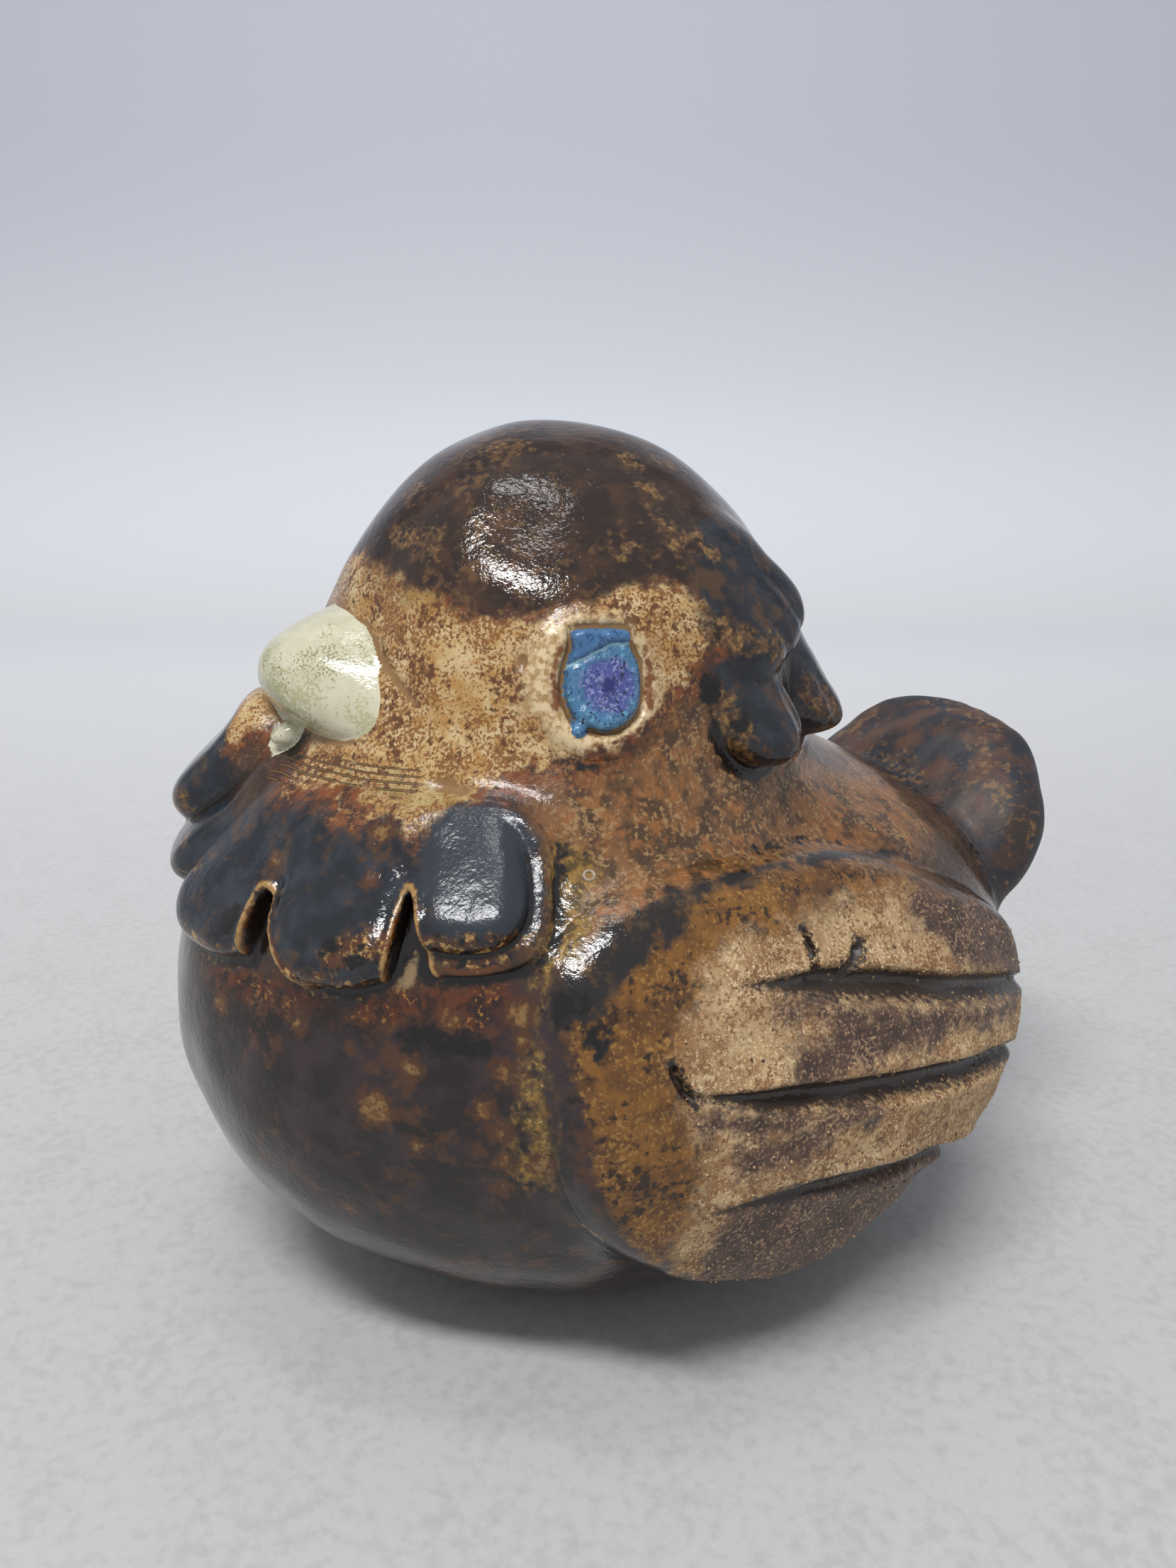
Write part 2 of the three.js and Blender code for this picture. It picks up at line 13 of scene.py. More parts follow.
import bpy
import numpy as np
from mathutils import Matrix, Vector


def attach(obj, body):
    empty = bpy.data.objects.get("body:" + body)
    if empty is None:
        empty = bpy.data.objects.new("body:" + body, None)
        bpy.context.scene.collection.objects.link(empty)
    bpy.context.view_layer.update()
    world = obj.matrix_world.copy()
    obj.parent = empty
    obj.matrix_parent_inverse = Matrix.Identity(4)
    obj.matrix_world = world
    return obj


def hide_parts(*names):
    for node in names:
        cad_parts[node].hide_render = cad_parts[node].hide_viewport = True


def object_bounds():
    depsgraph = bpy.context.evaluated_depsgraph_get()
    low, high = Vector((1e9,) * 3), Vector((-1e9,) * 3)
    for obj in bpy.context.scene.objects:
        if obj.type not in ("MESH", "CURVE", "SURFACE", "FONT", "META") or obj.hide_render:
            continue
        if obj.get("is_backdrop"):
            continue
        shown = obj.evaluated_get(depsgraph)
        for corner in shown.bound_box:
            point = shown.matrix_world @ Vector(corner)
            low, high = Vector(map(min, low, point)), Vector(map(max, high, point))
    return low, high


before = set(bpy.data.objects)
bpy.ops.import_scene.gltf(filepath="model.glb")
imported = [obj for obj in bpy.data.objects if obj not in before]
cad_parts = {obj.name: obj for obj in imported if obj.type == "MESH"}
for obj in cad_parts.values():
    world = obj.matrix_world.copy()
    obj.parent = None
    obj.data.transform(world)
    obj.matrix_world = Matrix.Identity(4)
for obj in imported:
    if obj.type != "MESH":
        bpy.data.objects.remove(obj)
cad_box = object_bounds()
MM = 0.001
print("CAD pieces:", len(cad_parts))

# %% [markdown]
# ## The camera
#
# The photograph was taken with a telephone held close to the bird, in front of its left wing and a
# little above it. A lens can be matched by eye, but here the place comes from a pinhole model: the
# distance follows from how strongly the near side is enlarged against the far side.

# %% Camera in front of the left wing
FRAME_HEIGHT_PX = 2212
PINHOLE_LENGTH_PX = 1662
SENSOR_MM = 36
CAMERA_PLACE = (117.56, -62.51, 85.26)
CAMERA_AZIMUTH = 62.19
CAMERA_DIP = 14.25

lens = bpy.data.cameras.new("camera_lens")
lens.sensor_width = SENSOR_MM
lens.lens = PINHOLE_LENGTH_PX / FRAME_HEIGHT_PX * SENSOR_MM
lens.clip_start = 0.01
lens.clip_end = 20
camera = bpy.data.objects.new("camera", lens)
camera.location = [value * MM for value in CAMERA_PLACE]
camera.rotation_euler = (math.radians(90 - CAMERA_DIP), 0, math.radians(CAMERA_AZIMUTH))
bpy.context.scene.collection.objects.link(camera)
bpy.context.scene.camera = camera
print("lens length in mm:", round(lens.lens, 2))

# %% [markdown]
# ## Soft clay as a field
#
# Pinched clay has no edges or sketches, so boxes and subdivision cages would fight its shape. A
# signed field does it better: a function that is negative inside the clay and positive outside.
# Two fields are joined with a rounded crease by taking their minimum and adding a fillet, which is
# what a wetted finger, or thick glaze, does in the corner between two lumps.

# %% Fields: egg, fillet and cut
def egg(p, size, pitch=0.0):
    """Egg of a width, length and height, tipped by pitch about the left-right axis."""
    half = [size["width"] / 2, size["length"] / 2, size["height"] / 2]
    c, s = math.cos(math.radians(pitch)), math.sin(math.radians(pitch))
    dy, dz = p[:, 1] - size["behind"], p[:, 2] - size["up"]
    x, y, z = p[:, 0] / half[0], (c * dy + s * dz) / half[1], (c * dz - s * dy) / half[2]
    near = np.sqrt(x * x + y * y + z * z)
    slope = np.sqrt((x / half[0]) ** 2 + (y / half[1]) ** 2 + (z / half[2]) ** 2)
    return near * (near - 1) / np.maximum(slope, 1e-9)


def join(a, b, fillet):
    overlap = np.maximum(fillet - np.abs(a - b), 0)
    return np.minimum(a, b) - overlap * overlap / (4 * fillet)


def meet(a, b, fillet):
    return -join(-a, -b, fillet)


def smooth(value, low, high):
    t = np.clip((value - low) / (high - low), 0, 1)
    return t * t * (3 - 2 * t)


def apart2(p, centre):
    """Squared distance from a point."""
    return (p[:, 0] - centre[0]) ** 2 + (p[:, 1] - centre[1]) ** 2 + (p[:, 2] - centre[2]) ** 2


def waves(p, length, seed, count=7):
    """Wandering value of about -1 to 1 that changes over the given length."""
    rng = np.random.default_rng(seed)
    turn = rng.normal(size=(count, 3))
    turn *= 2 * math.pi / length * rng.uniform(0.6, 1.3, (count, 1)) / np.linalg.norm(turn, axis=1)[:, None]
    phase = rng.uniform(0, 2 * math.pi, count)
    total = np.sin((p @ turn.T + phase).astype(np.float32)) @ np.ones(count, np.float32)
    return total / math.sqrt(count)


def roughened(form, p, *marks):
    """The field with slow hollows and ridges, each of a length, a depth and a seed."""
    for mark in marks:
        form = form + mark["depth"] * waves(p, mark["length"], mark["seed"])
    return form


# %% [markdown]
# ## The two pinched bowls
#
# The sizes are those of the CAD model. Fingers leave slow hollows and ridges a few tenths of a
# millimetre deep, and the glaze adds finer ripples, so both are added to the field. The crown also
# has a few thumbed flats, which is why its highlights break up.

# %% Body and head with their finger marks
BELLY = dict(width=81, length=93, height=62, behind=2, up=27)
BREAST = dict(width=70, length=66, height=58, behind=-13, up=36)
RUMP = dict(width=62, length=56, height=44, behind=23, up=31)
HEAD = dict(width=51, length=52, height=56, behind=-4.5, up=64)
BODY_BLEND = 10
NECK_BLEND = 12
FINGER_MARKS = dict(length=24, depth=0.3, seed=5)
GLAZE_RIPPLES = dict(length=6.5, depth=0.07, seed=8)
# Thumbed flats: centre, radius and depth.
DENTS = [
    ((15.8, -14.6, 80.8), 5.5, 0.5),
    ((20, -8, 84), 7, 0.7),
    ((3, 8, 92), 10, 0.6),
    ((24, -24, 62), 8, 0.5),
    ((-14, -14, 84), 9, 0.7),
    ((30, -14, 53), 7, -0.4),
    ((0, 48, 30), 14, 0.6),
    ((24, -36, 26), 12, 0.5),
]
# Nicks of a tool in the face: ends, radius and depth.
NICKS = [
    ((20.2, -26.2, 58.9), (21.8, -24.9, 58.7), 0.8, 0.6),
    ((21.3, -18.4, 69.9), (21.1, -18.0, 68.0), 0.6, 0.4),
    ((5.9, -28.1, 72.2), (10, -27.8, 68.9), 0.7, 0.3),
    ((10, -27.8, 68.9), (14.8, -26.6, 65.6), 0.6, 0.35),
    ((27.2, -11.6, 62.0), (27.3, -10.0, 62.4), 0.6, 0.3),
]



def to_streak(p, start, end):
    """Distance from a straight streak."""
    start, end = np.array(start, float), np.array(end, float)
    along = (p - start) @ (end - start) / max(((end - start) ** 2).sum(), 1e-9)
    return np.linalg.norm(p - start - np.clip(along, 0, 1)[:, None] * (end - start), axis=1)


def raw_clay(p):
    body = join(join(egg(p, BELLY), egg(p, BREAST), BODY_BLEND), egg(p, RUMP), BODY_BLEND)
    return join(body, egg(p, HEAD), NECK_BLEND)


def clay(p):
    form = roughened(raw_clay(p), p, FINGER_MARKS, GLAZE_RIPPLES)
    for centre, radius, depth in DENTS:
        form = form + depth * np.exp(-apart2(p, centre) / radius**2)
    for start, end, radius, depth in NICKS:
        form = form + depth * np.exp(-((to_streak(p, start, end) / radius) ** 2))
    return form


# %% [markdown]
# ## Pads pressed onto the clay
#
# A ruff lobe, a tuft and a wing are all made the same way: clay is flattened into a pad and pressed
# on. So one class does them all. It holds the pad's plane, its outline and its thickness, and it
# gives the pad's field from the field of the clay under it, so the pad always follows the surface.

# %% Outlines and the pad itself
def heading(azimuth, elevation):
    a, e = math.radians(azimuth), math.radians(elevation)
    return np.array([math.sin(a) * math.cos(e), -math.cos(a) * math.cos(e), math.sin(e)])


def tongue(width, up, down, square=2.4, square_down=2.0):
    """Outline as radius by angle: flat-sided above its middle, rounder below."""
    angle = np.radians(np.arange(-180, 180, 3))
    c, s = np.abs(np.cos(angle)) / (width / 2), np.sin(angle)
    power = np.where(s > 0, square, square_down)
    radius = (c**power + (np.abs(s) / np.where(s > 0, up, down)) ** power) ** (-1 / power)
    return angle, radius


def smooth_loop(points, steps=24):
    """Outline as radius by angle, through given points."""
    ring = np.array(points, float)
    t = (np.arange(steps) / steps)[:, None]
    pieces = []
    for i in range(len(ring)):
        a, b, c, d = (ring[(i + k) % len(ring)] for k in (-1, 0, 1, 2))
        line = 2 * b + (c - a) * t
        pieces.append((line + (2 * a - 5 * b + 4 * c - d) * t**2 + (3 * b - a - 3 * c + d) * t**3) / 2)
    curve = np.concatenate(pieces)
    angle = np.arctan2(curve[:, 1], curve[:, 0])
    order = np.argsort(angle)
    return angle[order], np.hypot(curve[order, 0], curve[order, 1])


PAD_SINK = 1.2
PAD_UNDERSIDE = 0.5


class Pad:
    """Clay pad on the clay. u runs round the bird, v up, n points out; side is -1 on the right."""

    def __init__(self, centre, azimuth, elevation, outline, proud, top=None, tilt=0, edge=1.2, side=1):
        self.centre, self.side = np.array(centre, float), side
        self.angle, self.radius = outline
        self.proud, self.top = proud, proud if top is None else top
        self.edge = edge
        self.n = heading(azimuth, elevation)
        flat = np.cross((0, 0, 1), self.n)
        flat /= np.linalg.norm(flat)
        rise, t = np.cross(self.n, flat), math.radians(tilt)
        self.u = flat * math.cos(t) + rise * math.sin(t)
        self.v = rise * math.cos(t) - flat * math.sin(t)
        self.low = (self.radius * np.sin(self.angle)).min()
        self.high = (self.radius * np.sin(self.angle)).max()

    def place(self, p):
        q = p * (self.side, 1, 1) - self.centre
        return q @ self.u, q @ self.v, q @ self.n

    def rim(self, u, v):
        return np.hypot(u, v) - np.interp(np.arctan2(v, u), self.angle, self.radius, period=2 * math.pi)

    def height(self, u, v):
        return self.proud + (self.top - self.proud) * smooth(v, self.low, self.high)

    def field(self, p, host):
        u, v, _ = self.place(p)
        upper = meet(host - self.height(u, v), self.rim(u, v), self.edge)
        return meet(upper, -host - PAD_SINK, PAD_UNDERSIDE)


# %% [markdown]
# ## The list of lumps
#
# Each lump is kept with its field, a ball that it certainly lies in, so that points far away cost
# nothing, and the fillet that glaze leaves round its foot. Left and right lumps share one entry.

# %% A place to register each lump
FAR = 40.0
# A pad's axes: round the bird, and up.
ALONG, UPWARD = 0, 1
lumps = {}


RAY_LENGTH = 90.0
HALVINGS = 40


def surface_point(centre, direction):
    """Where a ray from an inner point leaves the clay."""
    near, far = 0.0, RAY_LENGTH
    for _ in range(HALVINGS):
        middle = (near + far) / 2
        inside = raw_clay((np.array(centre) + direction * middle)[None])[0] < 0
        near, far = (middle, far) if inside else (near, middle)
    return np.array(centre) + direction * near


def seat(centre, azimuth, elevation, side=1):
    """The point of the clay that a pad is pressed onto."""
    return surface_point(centre, heading(azimuth, elevation)) * (side, 1, 1)


def add_lump(name, field, centre, reach, fillet, step):
    lumps[name] = dict(field=field, centre=np.array(centre, float), reach=reach, fillet=fillet, step=step)


def even(fillet):
    return lambda p: fillet


def growing(pad, axis, least, more, start, end):
    """Fillet that widens along a pad's own axis, where its edge is smoothed into the clay."""
    return lambda p: least + more * smooth(pad.place(p)[axis], start, end)


def near_lump(lump, p):
    return apart2(p, lump["centre"]) < lump["reach"] ** 2


# %% [markdown]
# ## The ruff
#
# Three flattened lobes lie on each side of the breast like a collar. Their tops are smoothed into
# the neck and covered by one pool of glaze, and a knife has opened the collar between the lobes from
# below, with small raised lips. The lobes are square-sided pads that touch, and the cuts are wedges
# taken out of them. The outermost lobe is a disc on a slightly wider flange.

# %% Ruff lobes and the knife cuts between them
RUFF_CENTRE = (0, -12, 40)
RUFF_ELEVATION = 15
# The right lobes sit closer to the front and higher, as the far outline in the photograph shows.
RUFF_LOBES = {
    1: [
        dict(azimuth=13, lift=0.5, outline=(17, 9.5, 6.9, 5, 2.6), proud=3.0, top=0.7, edge=3.4),
        dict(azimuth=41, lift=-0.5, outline=(14.6, 10, 5.9, 5, 2.4), proud=3.5, top=0.7, edge=3.2),
        dict(azimuth=62, lift=4.8, outline=(11, 7.4, 5.4, 2.7, 2.5), proud=4.0, top=1.7, edge=3.4),
    ],
    -1: [
        dict(azimuth=10, lift=5.5, outline=(13.5, 9, 6.6, 4, 2.4), proud=3.4, top=1.0, edge=3.4),
        dict(azimuth=23, lift=13.5, outline=(14, 10, 7.2, 3, 2.4), proud=5.9, top=4.0, edge=4.0),
        dict(azimuth=52, lift=8, outline=(12, 8, 6.4, 2.7, 2.5), proud=3.8, top=1.7, edge=4.0),
    ],
}
FLANGE = dict(outline=(14.4, 7.0, 7.2, 2.6, 2.3), proud=1.5, top=0.9, edge=0.8)
FLANGE_FILLET = 0.25
# Knife cuts: azimuth at the apex, height of the apex above the ruff centre, lean and half opening.
KNIFE_CUTS = [
    dict(azimuth=26, apex=9.6, lean=0.5, opening=0.56, start=0.3),
    dict(azimuth=53.3, apex=11.4, lean=0.1, opening=0.23, start=0.25),
]
CUT_EDGE = 0.9
CUT_LIP = dict(height=0.4, away=0.4, width=0.5)
RUFF_REACH = 16
APPLIED_STEP = 0.32


def knife_cut(p, side, cut):
    """Field of a wedge that opens downward; negative in the cut."""
    q = p * (side, 1, 1) - np.array(RUFF_CENTRE)
    across = q @ heading(cut["azimuth"] + 90, 0)
    below = cut["apex"] - q[:, 2]
    half = cut["start"] + cut["opening"] * np.maximum(below, 0)
    wedge = (np.abs(across - cut["lean"] * below) - half) * 0.95
    return meet(wedge, -below, 1.0)


def ruff_lobe(index, side):
    lobe = RUFF_LOBES[side][index]
    place = (RUFF_CENTRE, lobe["azimuth"], RUFF_ELEVATION + lobe["lift"])

    def pressed(part):
        return Pad(*place, tongue(*part["outline"]), part["proud"], part["top"], edge=part["edge"], side=side)

    pad = pressed(lobe)
    flange = pressed(FLANGE) if index == 2 and side > 0 else None

    def field(p, host):
        form = pad.field(p, host)
        if flange is not None:
            form = join(form, flange.field(p, host), FLANGE_FILLET)
        for cut in KNIFE_CUTS if side > 0 else ():
            wedge = knife_cut(p, side, cut)
            lip = CUT_LIP["height"] * np.exp(-(((wedge - CUT_LIP["away"]) / CUT_LIP["width"]) ** 2))
            form = meet(form - lip, -wedge, CUT_EDGE)
        return form

    name = f"ruff_{'left' if side > 0 else 'right'}_{index + 1}"
    fillet = growing(pad, UPWARD, 0.5, 3.0, 0, 8)
    add_lump(name, field, seat(*place, side), RUFF_REACH, fillet, APPLIED_STEP)
    return pad


ruff_pads = [ruff_lobe(index, side) for side in (1, -1) for index in range(3)]
print("ruff lobes:", len(ruff_pads))

# %% [markdown]
# ## The nape tufts
#
# The combed feathers at the back of the head are pads too, thin where they leave the crown and
# thick at their free lower ends. Each is laid over the one below it.

# %% Nape tufts
HEAD_CENTRE = (0, HEAD["behind"], HEAD["up"])
NAPE_TUFTS = dict(
    upper=dict(azimuth=118, elevation=20, outline=(15, 10, 5.4), proud=3.5, top=0.3, tilt=26, edge=3.2),
    lower=dict(azimuth=111, elevation=0, outline=(10.4, 7.4, 5.6), proud=4.2, top=1.4, tilt=12, edge=4.4),
    rear=dict(azimuth=144, elevation=1, outline=(11, 7.6, 5.9), proud=4.3, top=1.6, tilt=6, edge=5.5),
    centre=dict(azimuth=180, elevation=26, outline=(15, 8, 6.5), proud=2.8, top=0.4, tilt=0, edge=3.6),
)
TUFT_SQUARE = (2.2, 2.3)
COMBED = dict(depth=0.35, away=2.2, width=0.8)
TUFT_REACH = 15


def nape_tuft(word, side, name):
    tuft = NAPE_TUFTS[word]
    place = (HEAD_CENTRE, tuft["azimuth"], tuft["elevation"])
    form = dict(proud=tuft["proud"], top=tuft["top"], tilt=tuft["tilt"], edge=tuft["edge"], side=side)
    pad = Pad(*place, tongue(*tuft["outline"], *TUFT_SQUARE), **form)

    def field(p, host):
        u, v, _ = pad.place(p)
        stroke = np.exp(-(((np.abs(u) - COMBED["away"]) / COMBED["width"]) ** 2))
        return pad.field(p, host + COMBED["depth"] * stroke * smooth(v, 5, -3))

    fillet = growing(pad, UPWARD, 0.6, 2.6, 0, 7)
    add_lump(name, field, seat(*place, side), TUFT_REACH, fillet, APPLIED_STEP)
    return pad


nape_pads = []
for word in ("upper", "lower", "rear"):
    nape_pads.append(nape_tuft(word, 1, f"nape_{word}_left"))
    nape_pads.append(nape_tuft(word, -1, f"nape_{word}_right"))
nape_pads.append(nape_tuft("centre", 1, "nape_centre"))

# %% [markdown]
# ## The wings
#
# Each wing is one thick pad. Its feathers are drawn with a round tool while the clay is soft: the
# groove starts at a point, gets deep quickly and runs out at the feather tips, and pushes up a burr
# on both sides. At two starts the clay tore, and the last groove is a step where one feather lies
# over the next. All of it is height taken from, or added to, the pad in its own plane.

# %% Wing pad, grooves and tears
WING_CENTRE = (0, BELLY["behind"] + 5, BELLY["up"] + 2)
WING_TILT = -14.6
WING_PROUD = 3.6
WING_TOP_PROUD = 2.9
WING_OUTLINE = [
    [-33, 6], [-30.5, -1.5], [-27, -9.5], [-21, -15.5], [-11.5, -19.8], [-0.8, -19.8],
    [9.3, -14.9], [18.2, -8.4], [24.1, -1.2], [27.9, 6], [28, 13], [23.2, 18],
    [12, 20.5], [-1, 21.5], [-14, 19.5], [-25, 15.8], [-31, 11],
]
# Marks: path in the wing's plane, half width, depth, share of the path over which it deepens.
GROOVES = [
    dict(path=[[-16.3, 10.3], [-8, 11.0], [6, 11.0], [32, 10.4]], half=1.6, depth=1.55, swell=0.25),
    dict(path=[[-20.8, 0.6], [-14, 1.1], [-0.5, 2.3], [31, 4.3]], half=1.55, depth=1.8, swell=0.25),
    dict(path=[[-15.5, -9.6], [-5.9, -7.2], [10, -6.0], [28, -6.4]], half=1.6, depth=1.5, swell=0.4),
]
TEARS = [
    dict(path=[[-9.3, 15.2], [-8.5, 13.2], [-8.9, 11]], half=0.55, depth=0.9, swell=0.1),
    dict(path=[[-4.9, 12.1], [-3.6, 12.8], [-2.4, 14.3]], half=0.8, depth=0.9, swell=0.1),
    dict(path=[[-22.6, 3.2], [-21.6, 1.6], [-20.0, 0]], half=0.5, depth=1.0, swell=0.1),
]
FEATHER_STEP = 1.1


def along_path(u, v, path):
    """Distance from a path in the plane, the share of its length, and the side (+1 above it)."""
    points = np.array(path, float)
    spans = np.hypot(*(points[1:] - points[:-1]).T)
    best, share, above, run = np.full(len(u), FAR), np.zeros(len(u)), np.zeros(len(u)), 0.0
    for start, end, span in zip(points[:-1], points[1:], spans):
        d = (end - start) / span
        t = np.clip((u - start[0]) * d[0] + (v - start[1]) * d[1], 0, span)
        gap_u, gap_v = u - start[0] - d[0] * t, v - start[1] - d[1] * t
        gap = np.hypot(gap_u, gap_v)
        closer = gap < best
        best = np.where(closer, gap, best)
        share = np.where(closer, (run + t) / spans.sum(), share)
        above = np.where(closer, d[0] * gap_v - d[1] * gap_u, above)
        run += span
    return best, share, above


def tool_mark(u, v, mark):
    gap, share, _ = along_path(u, v, mark["path"])
    swell = (0.2 + 0.8 * smooth(share, 0, mark["swell"])) * (1 - 0.72 * smooth(share, 0.72, 1))
    reach = gap / (mark["half"] * swell)
    cut = mark["depth"] * swell * np.clip(1 - reach**1.6, 0, 1)
    burr = 0.22 * swell * np.exp(-(((reach - 1.35) / 0.4) ** 2))
    return cut - burr


def wing_relief(u, v):
    """How much lower than the plain pad the wing's surface is."""
    drop = sum(tool_mark(u, v, mark) for mark in GROOVES + TEARS)
    gap, share, above = along_path(u, v, GROOVES[2]["path"])
    under = smooth(-above, -0.4, 0.8) * smooth(share, 0.02, 0.4) * smooth(gap, 9, 2)
    drop = drop + FEATHER_STEP * under
    swing = 0.16 * np.sin(u * 0.55 + 0.8 * np.sin(v * 0.5)) * np.sin(v * 0.62 + 1.0)
    return drop + swing


class WingPad(Pad):
    def height(self, u, v):
        return super().height(u, v) - wing_relief(u, v)


WING_EDGE = 2.6
WING_INNER = 12
WING_MIDDLE = (36, 7, 29)
WING_REACH = 44
WING_STEP = 0.4


def wing(side, word):
    outline = smooth_loop(WING_OUTLINE)
    pad = WingPad(WING_CENTRE, 90, 0, outline, WING_PROUD, WING_TOP_PROUD, WING_TILT, WING_EDGE, side)

    def field(p, host):
        return np.where(p[:, 0] * side < WING_INNER, FAR, pad.field(p, host))

    middle = np.array(WING_MIDDLE) * (side, 1, 1)
    add_lump(f"wing_{word}", field, middle, WING_REACH, growing(pad, ALONG, 0.7, 3.2, -8, -24), WING_STEP)
    return pad


wing_pad = wing(1, "left")
wing(-1, "right")

# %% [markdown]
# ## Tail, beak and eyes
#
# The tail and the beak are eggs pressed in until only a part stands proud. The beak is drawn out
# toward its tip, so its cross section narrows along its length. The eye is a pellet in a pressed
# ring that was squeezed outward more at the front and below than at the back.

# %% Tail and beak
TAIL = dict(width=42, length=37, height=19)
TAIL_PROUD = 17.4
TAIL_ELEVATION = 21.5
TAIL_PITCH = 53
BEAK = dict(width=24.4, length=26, height=16.5)
BEAK_PROUD = 6
BEAK_ELEVATION = 5.9
ROUND = dict(taper=0, spread=0, square=2, square_down=2)
BEAK_SHAPE = dict(taper=0.22, spread=0.42, square=2.3, square_down=3.0)
BILL = dict(width=4.8, length=12, height=3.9)
BILL_PROUD = 2.2
BILL_ELEVATION = -6.2


def pressed_egg(centre, elevation, size, proud, pitch, azimuth=0, shape=ROUND):
    """Egg pressed into the clay, narrower toward its tip by taper and wider below by spread."""
    direction = heading(azimuth, elevation)
    middle = surface_point(centre, direction) + direction * (proud - size["length"] / 2)
    c, s = math.cos(math.radians(pitch)), math.sin(math.radians(pitch))
    plain = dict(size, behind=0, up=0)

    def field(p, host):
        q = p - middle
        y, z = c * q[:, 1] + s * q[:, 2], c * q[:, 2] - s * q[:, 1]
        narrow = 1 - shape["taper"] * np.clip(np.abs(y) / (size["length"] / 2), 0, 1)
        wide = narrow * (1 - shape["spread"] * np.clip(z / (size["height"] / 2), -1, 1))
        x, z = q[:, 0] / wide / size["width"], z / narrow / size["height"]
        power = shape["square_down"] + (shape["square"] - shape["square_down"]) * smooth(z, -0.3, 0.3)
        corner = (np.abs(x) ** power + np.abs(z) ** power) ** (1 / power) / np.maximum(np.hypot(x, z), 1e-9)
        return egg(np.stack([x * corner * size["width"], y, z * corner * size["height"]], 1), plain) * 0.9

    return field, middle


rump_centre = (0, RUMP["behind"], RUMP["up"])
tail_egg, tail_middle = pressed_egg(rump_centre, TAIL_ELEVATION, TAIL, TAIL_PROUD, TAIL_PITCH, azimuth=180)
upper_beak, beak_middle = pressed_egg(
    HEAD_CENTRE, BEAK_ELEVATION, BEAK, BEAK_PROUD, -BEAK_ELEVATION, shape=BEAK_SHAPE
)
lower_beak, bill_middle = pressed_egg(HEAD_CENTRE, BILL_ELEVATION, BILL, BILL_PROUD, -BILL_ELEVATION)


TAIL_MARKS = [dict(length=13, depth=0.25, seed=31), dict(length=4, depth=0.05, seed=32)]
BEAK_MARKS = [dict(length=7, depth=0.12, seed=21)]
BILL_MARKS = [dict(length=4, depth=0.06, seed=22)]


def marked(field, marks):
    return lambda p, host: roughened(field(p, host), p, *marks)


add_lump("tail", marked(tail_egg, TAIL_MARKS), tail_middle, reach=25, fillet=even(3.0), step=0.42)
add_lump("beak_upper", marked(upper_beak, BEAK_MARKS), beak_middle, reach=17, fillet=even(0.35), step=0.3)
add_lump("beak_lower", marked(lower_beak, BILL_MARKS), bill_middle, reach=9, fillet=even(0.35), step=0.26)

# %% Eyes and their pressed rings
EYE_AZIMUTH = 73.2
EYE_ELEVATION = 8.8
EYE_OUTLINE = [
    [-2.6, 4.55], [0, 4.75], [2.45, 4.5], [2.7, 3.0], [3.45, 1.2], [3.55, -0.8], [2.9, -2.9],
    [1.2, -4.2], [-0.8, -4.3], [-2.7, -3.4], [-3.55, -1.2], [-3.45, 0.9], [-2.75, 2.9],
]
EYE_DRIP = dict(across=-2.6, up=-4.3, radius=0.75)
EYE_BAND = dict(level=3.3, rise=0.47, middle=2.95)
EYE_PROUD = 1.25
RING_OUTLINE = (12.2, 6.9, 6.7, 2.3, 2.1)
RING_PROUD = 0.8
RING_SHIFT = (-0.55, -0.35)
SOCKET_DEPTH = 0.35


def above_band(u, v):
    """Height above the lower border of the thick glaze at the top of the eye."""
    return v - np.minimum(EYE_BAND["level"], EYE_BAND["middle"] + EYE_BAND["rise"] * u)


def eye(side, word):
    place = (HEAD_CENTRE, EYE_AZIMUTH, EYE_ELEVATION)
    disc = Pad(*place, smooth_loop(EYE_OUTLINE), EYE_PROUD, edge=1.1, side=side)
    wide = Pad(*place, tongue(*RING_OUTLINE), RING_PROUD, edge=1.5, side=side)
    wide.centre = wide.centre + RING_SHIFT[0] * wide.u + RING_SHIFT[1] * wide.v

    def pellet(p, host):
        u, v, _ = disc.place(p)
        line = above_band(u, v)
        overflow = 0.25 * smooth(line, -0.1, 0.4) - 0.2 * np.exp(-((line / 0.35) ** 2))
        drip = np.hypot(u - EYE_DRIP["across"], v - EYE_DRIP["up"]) - EYE_DRIP["radius"]
        rim = join(disc.rim(u, v), drip, 0.5)
        body = meet(host - EYE_PROUD - overflow - 0.05 * waves(p, 2.2, 41), rim, 0.9)
        return meet(body, -host - 1.0, 0.4)

    def ring(p, host):
        u, v, _ = disc.place(p)
        opening = disc.rim(u, v)
        rolled = RING_PROUD * smooth(opening, 0.0, 0.9) * (0.55 + 0.45 * smooth(-u - v, -6, 4))
        edge = wide.rim(*wide.place(p)[:2])
        body = meet(host - rolled + SOCKET_DEPTH * smooth(opening, 1.2, 0.0), edge, 1.6)
        return meet(body, -host - 1.0, 0.4)

    add_lump(f"eye_ring_{word}", ring, seat(*place, side), reach=10, fillet=even(0.9), step=0.26)
    add_lump(f"eye_{word}", pellet, seat(*place, side), reach=7.5, fillet=even(0.12), step=0.22)


eye(1, "left")
eye(-1, "right")
print("lumps on the clay:", len(lumps))

# %% [markdown]
# ## One clay whole, cut into its pieces
#
# On the real bird the glaze runs over every joint and rounds it. So the whole is one field: the clay
# with every lump joined on by its fillet. Each piece is that whole inside its own territory. Where a
# neighbour takes over, the piece dips below it, first by nothing and then more and more. Its shading
# therefore runs on smoothly under the joint, and no line shows there.

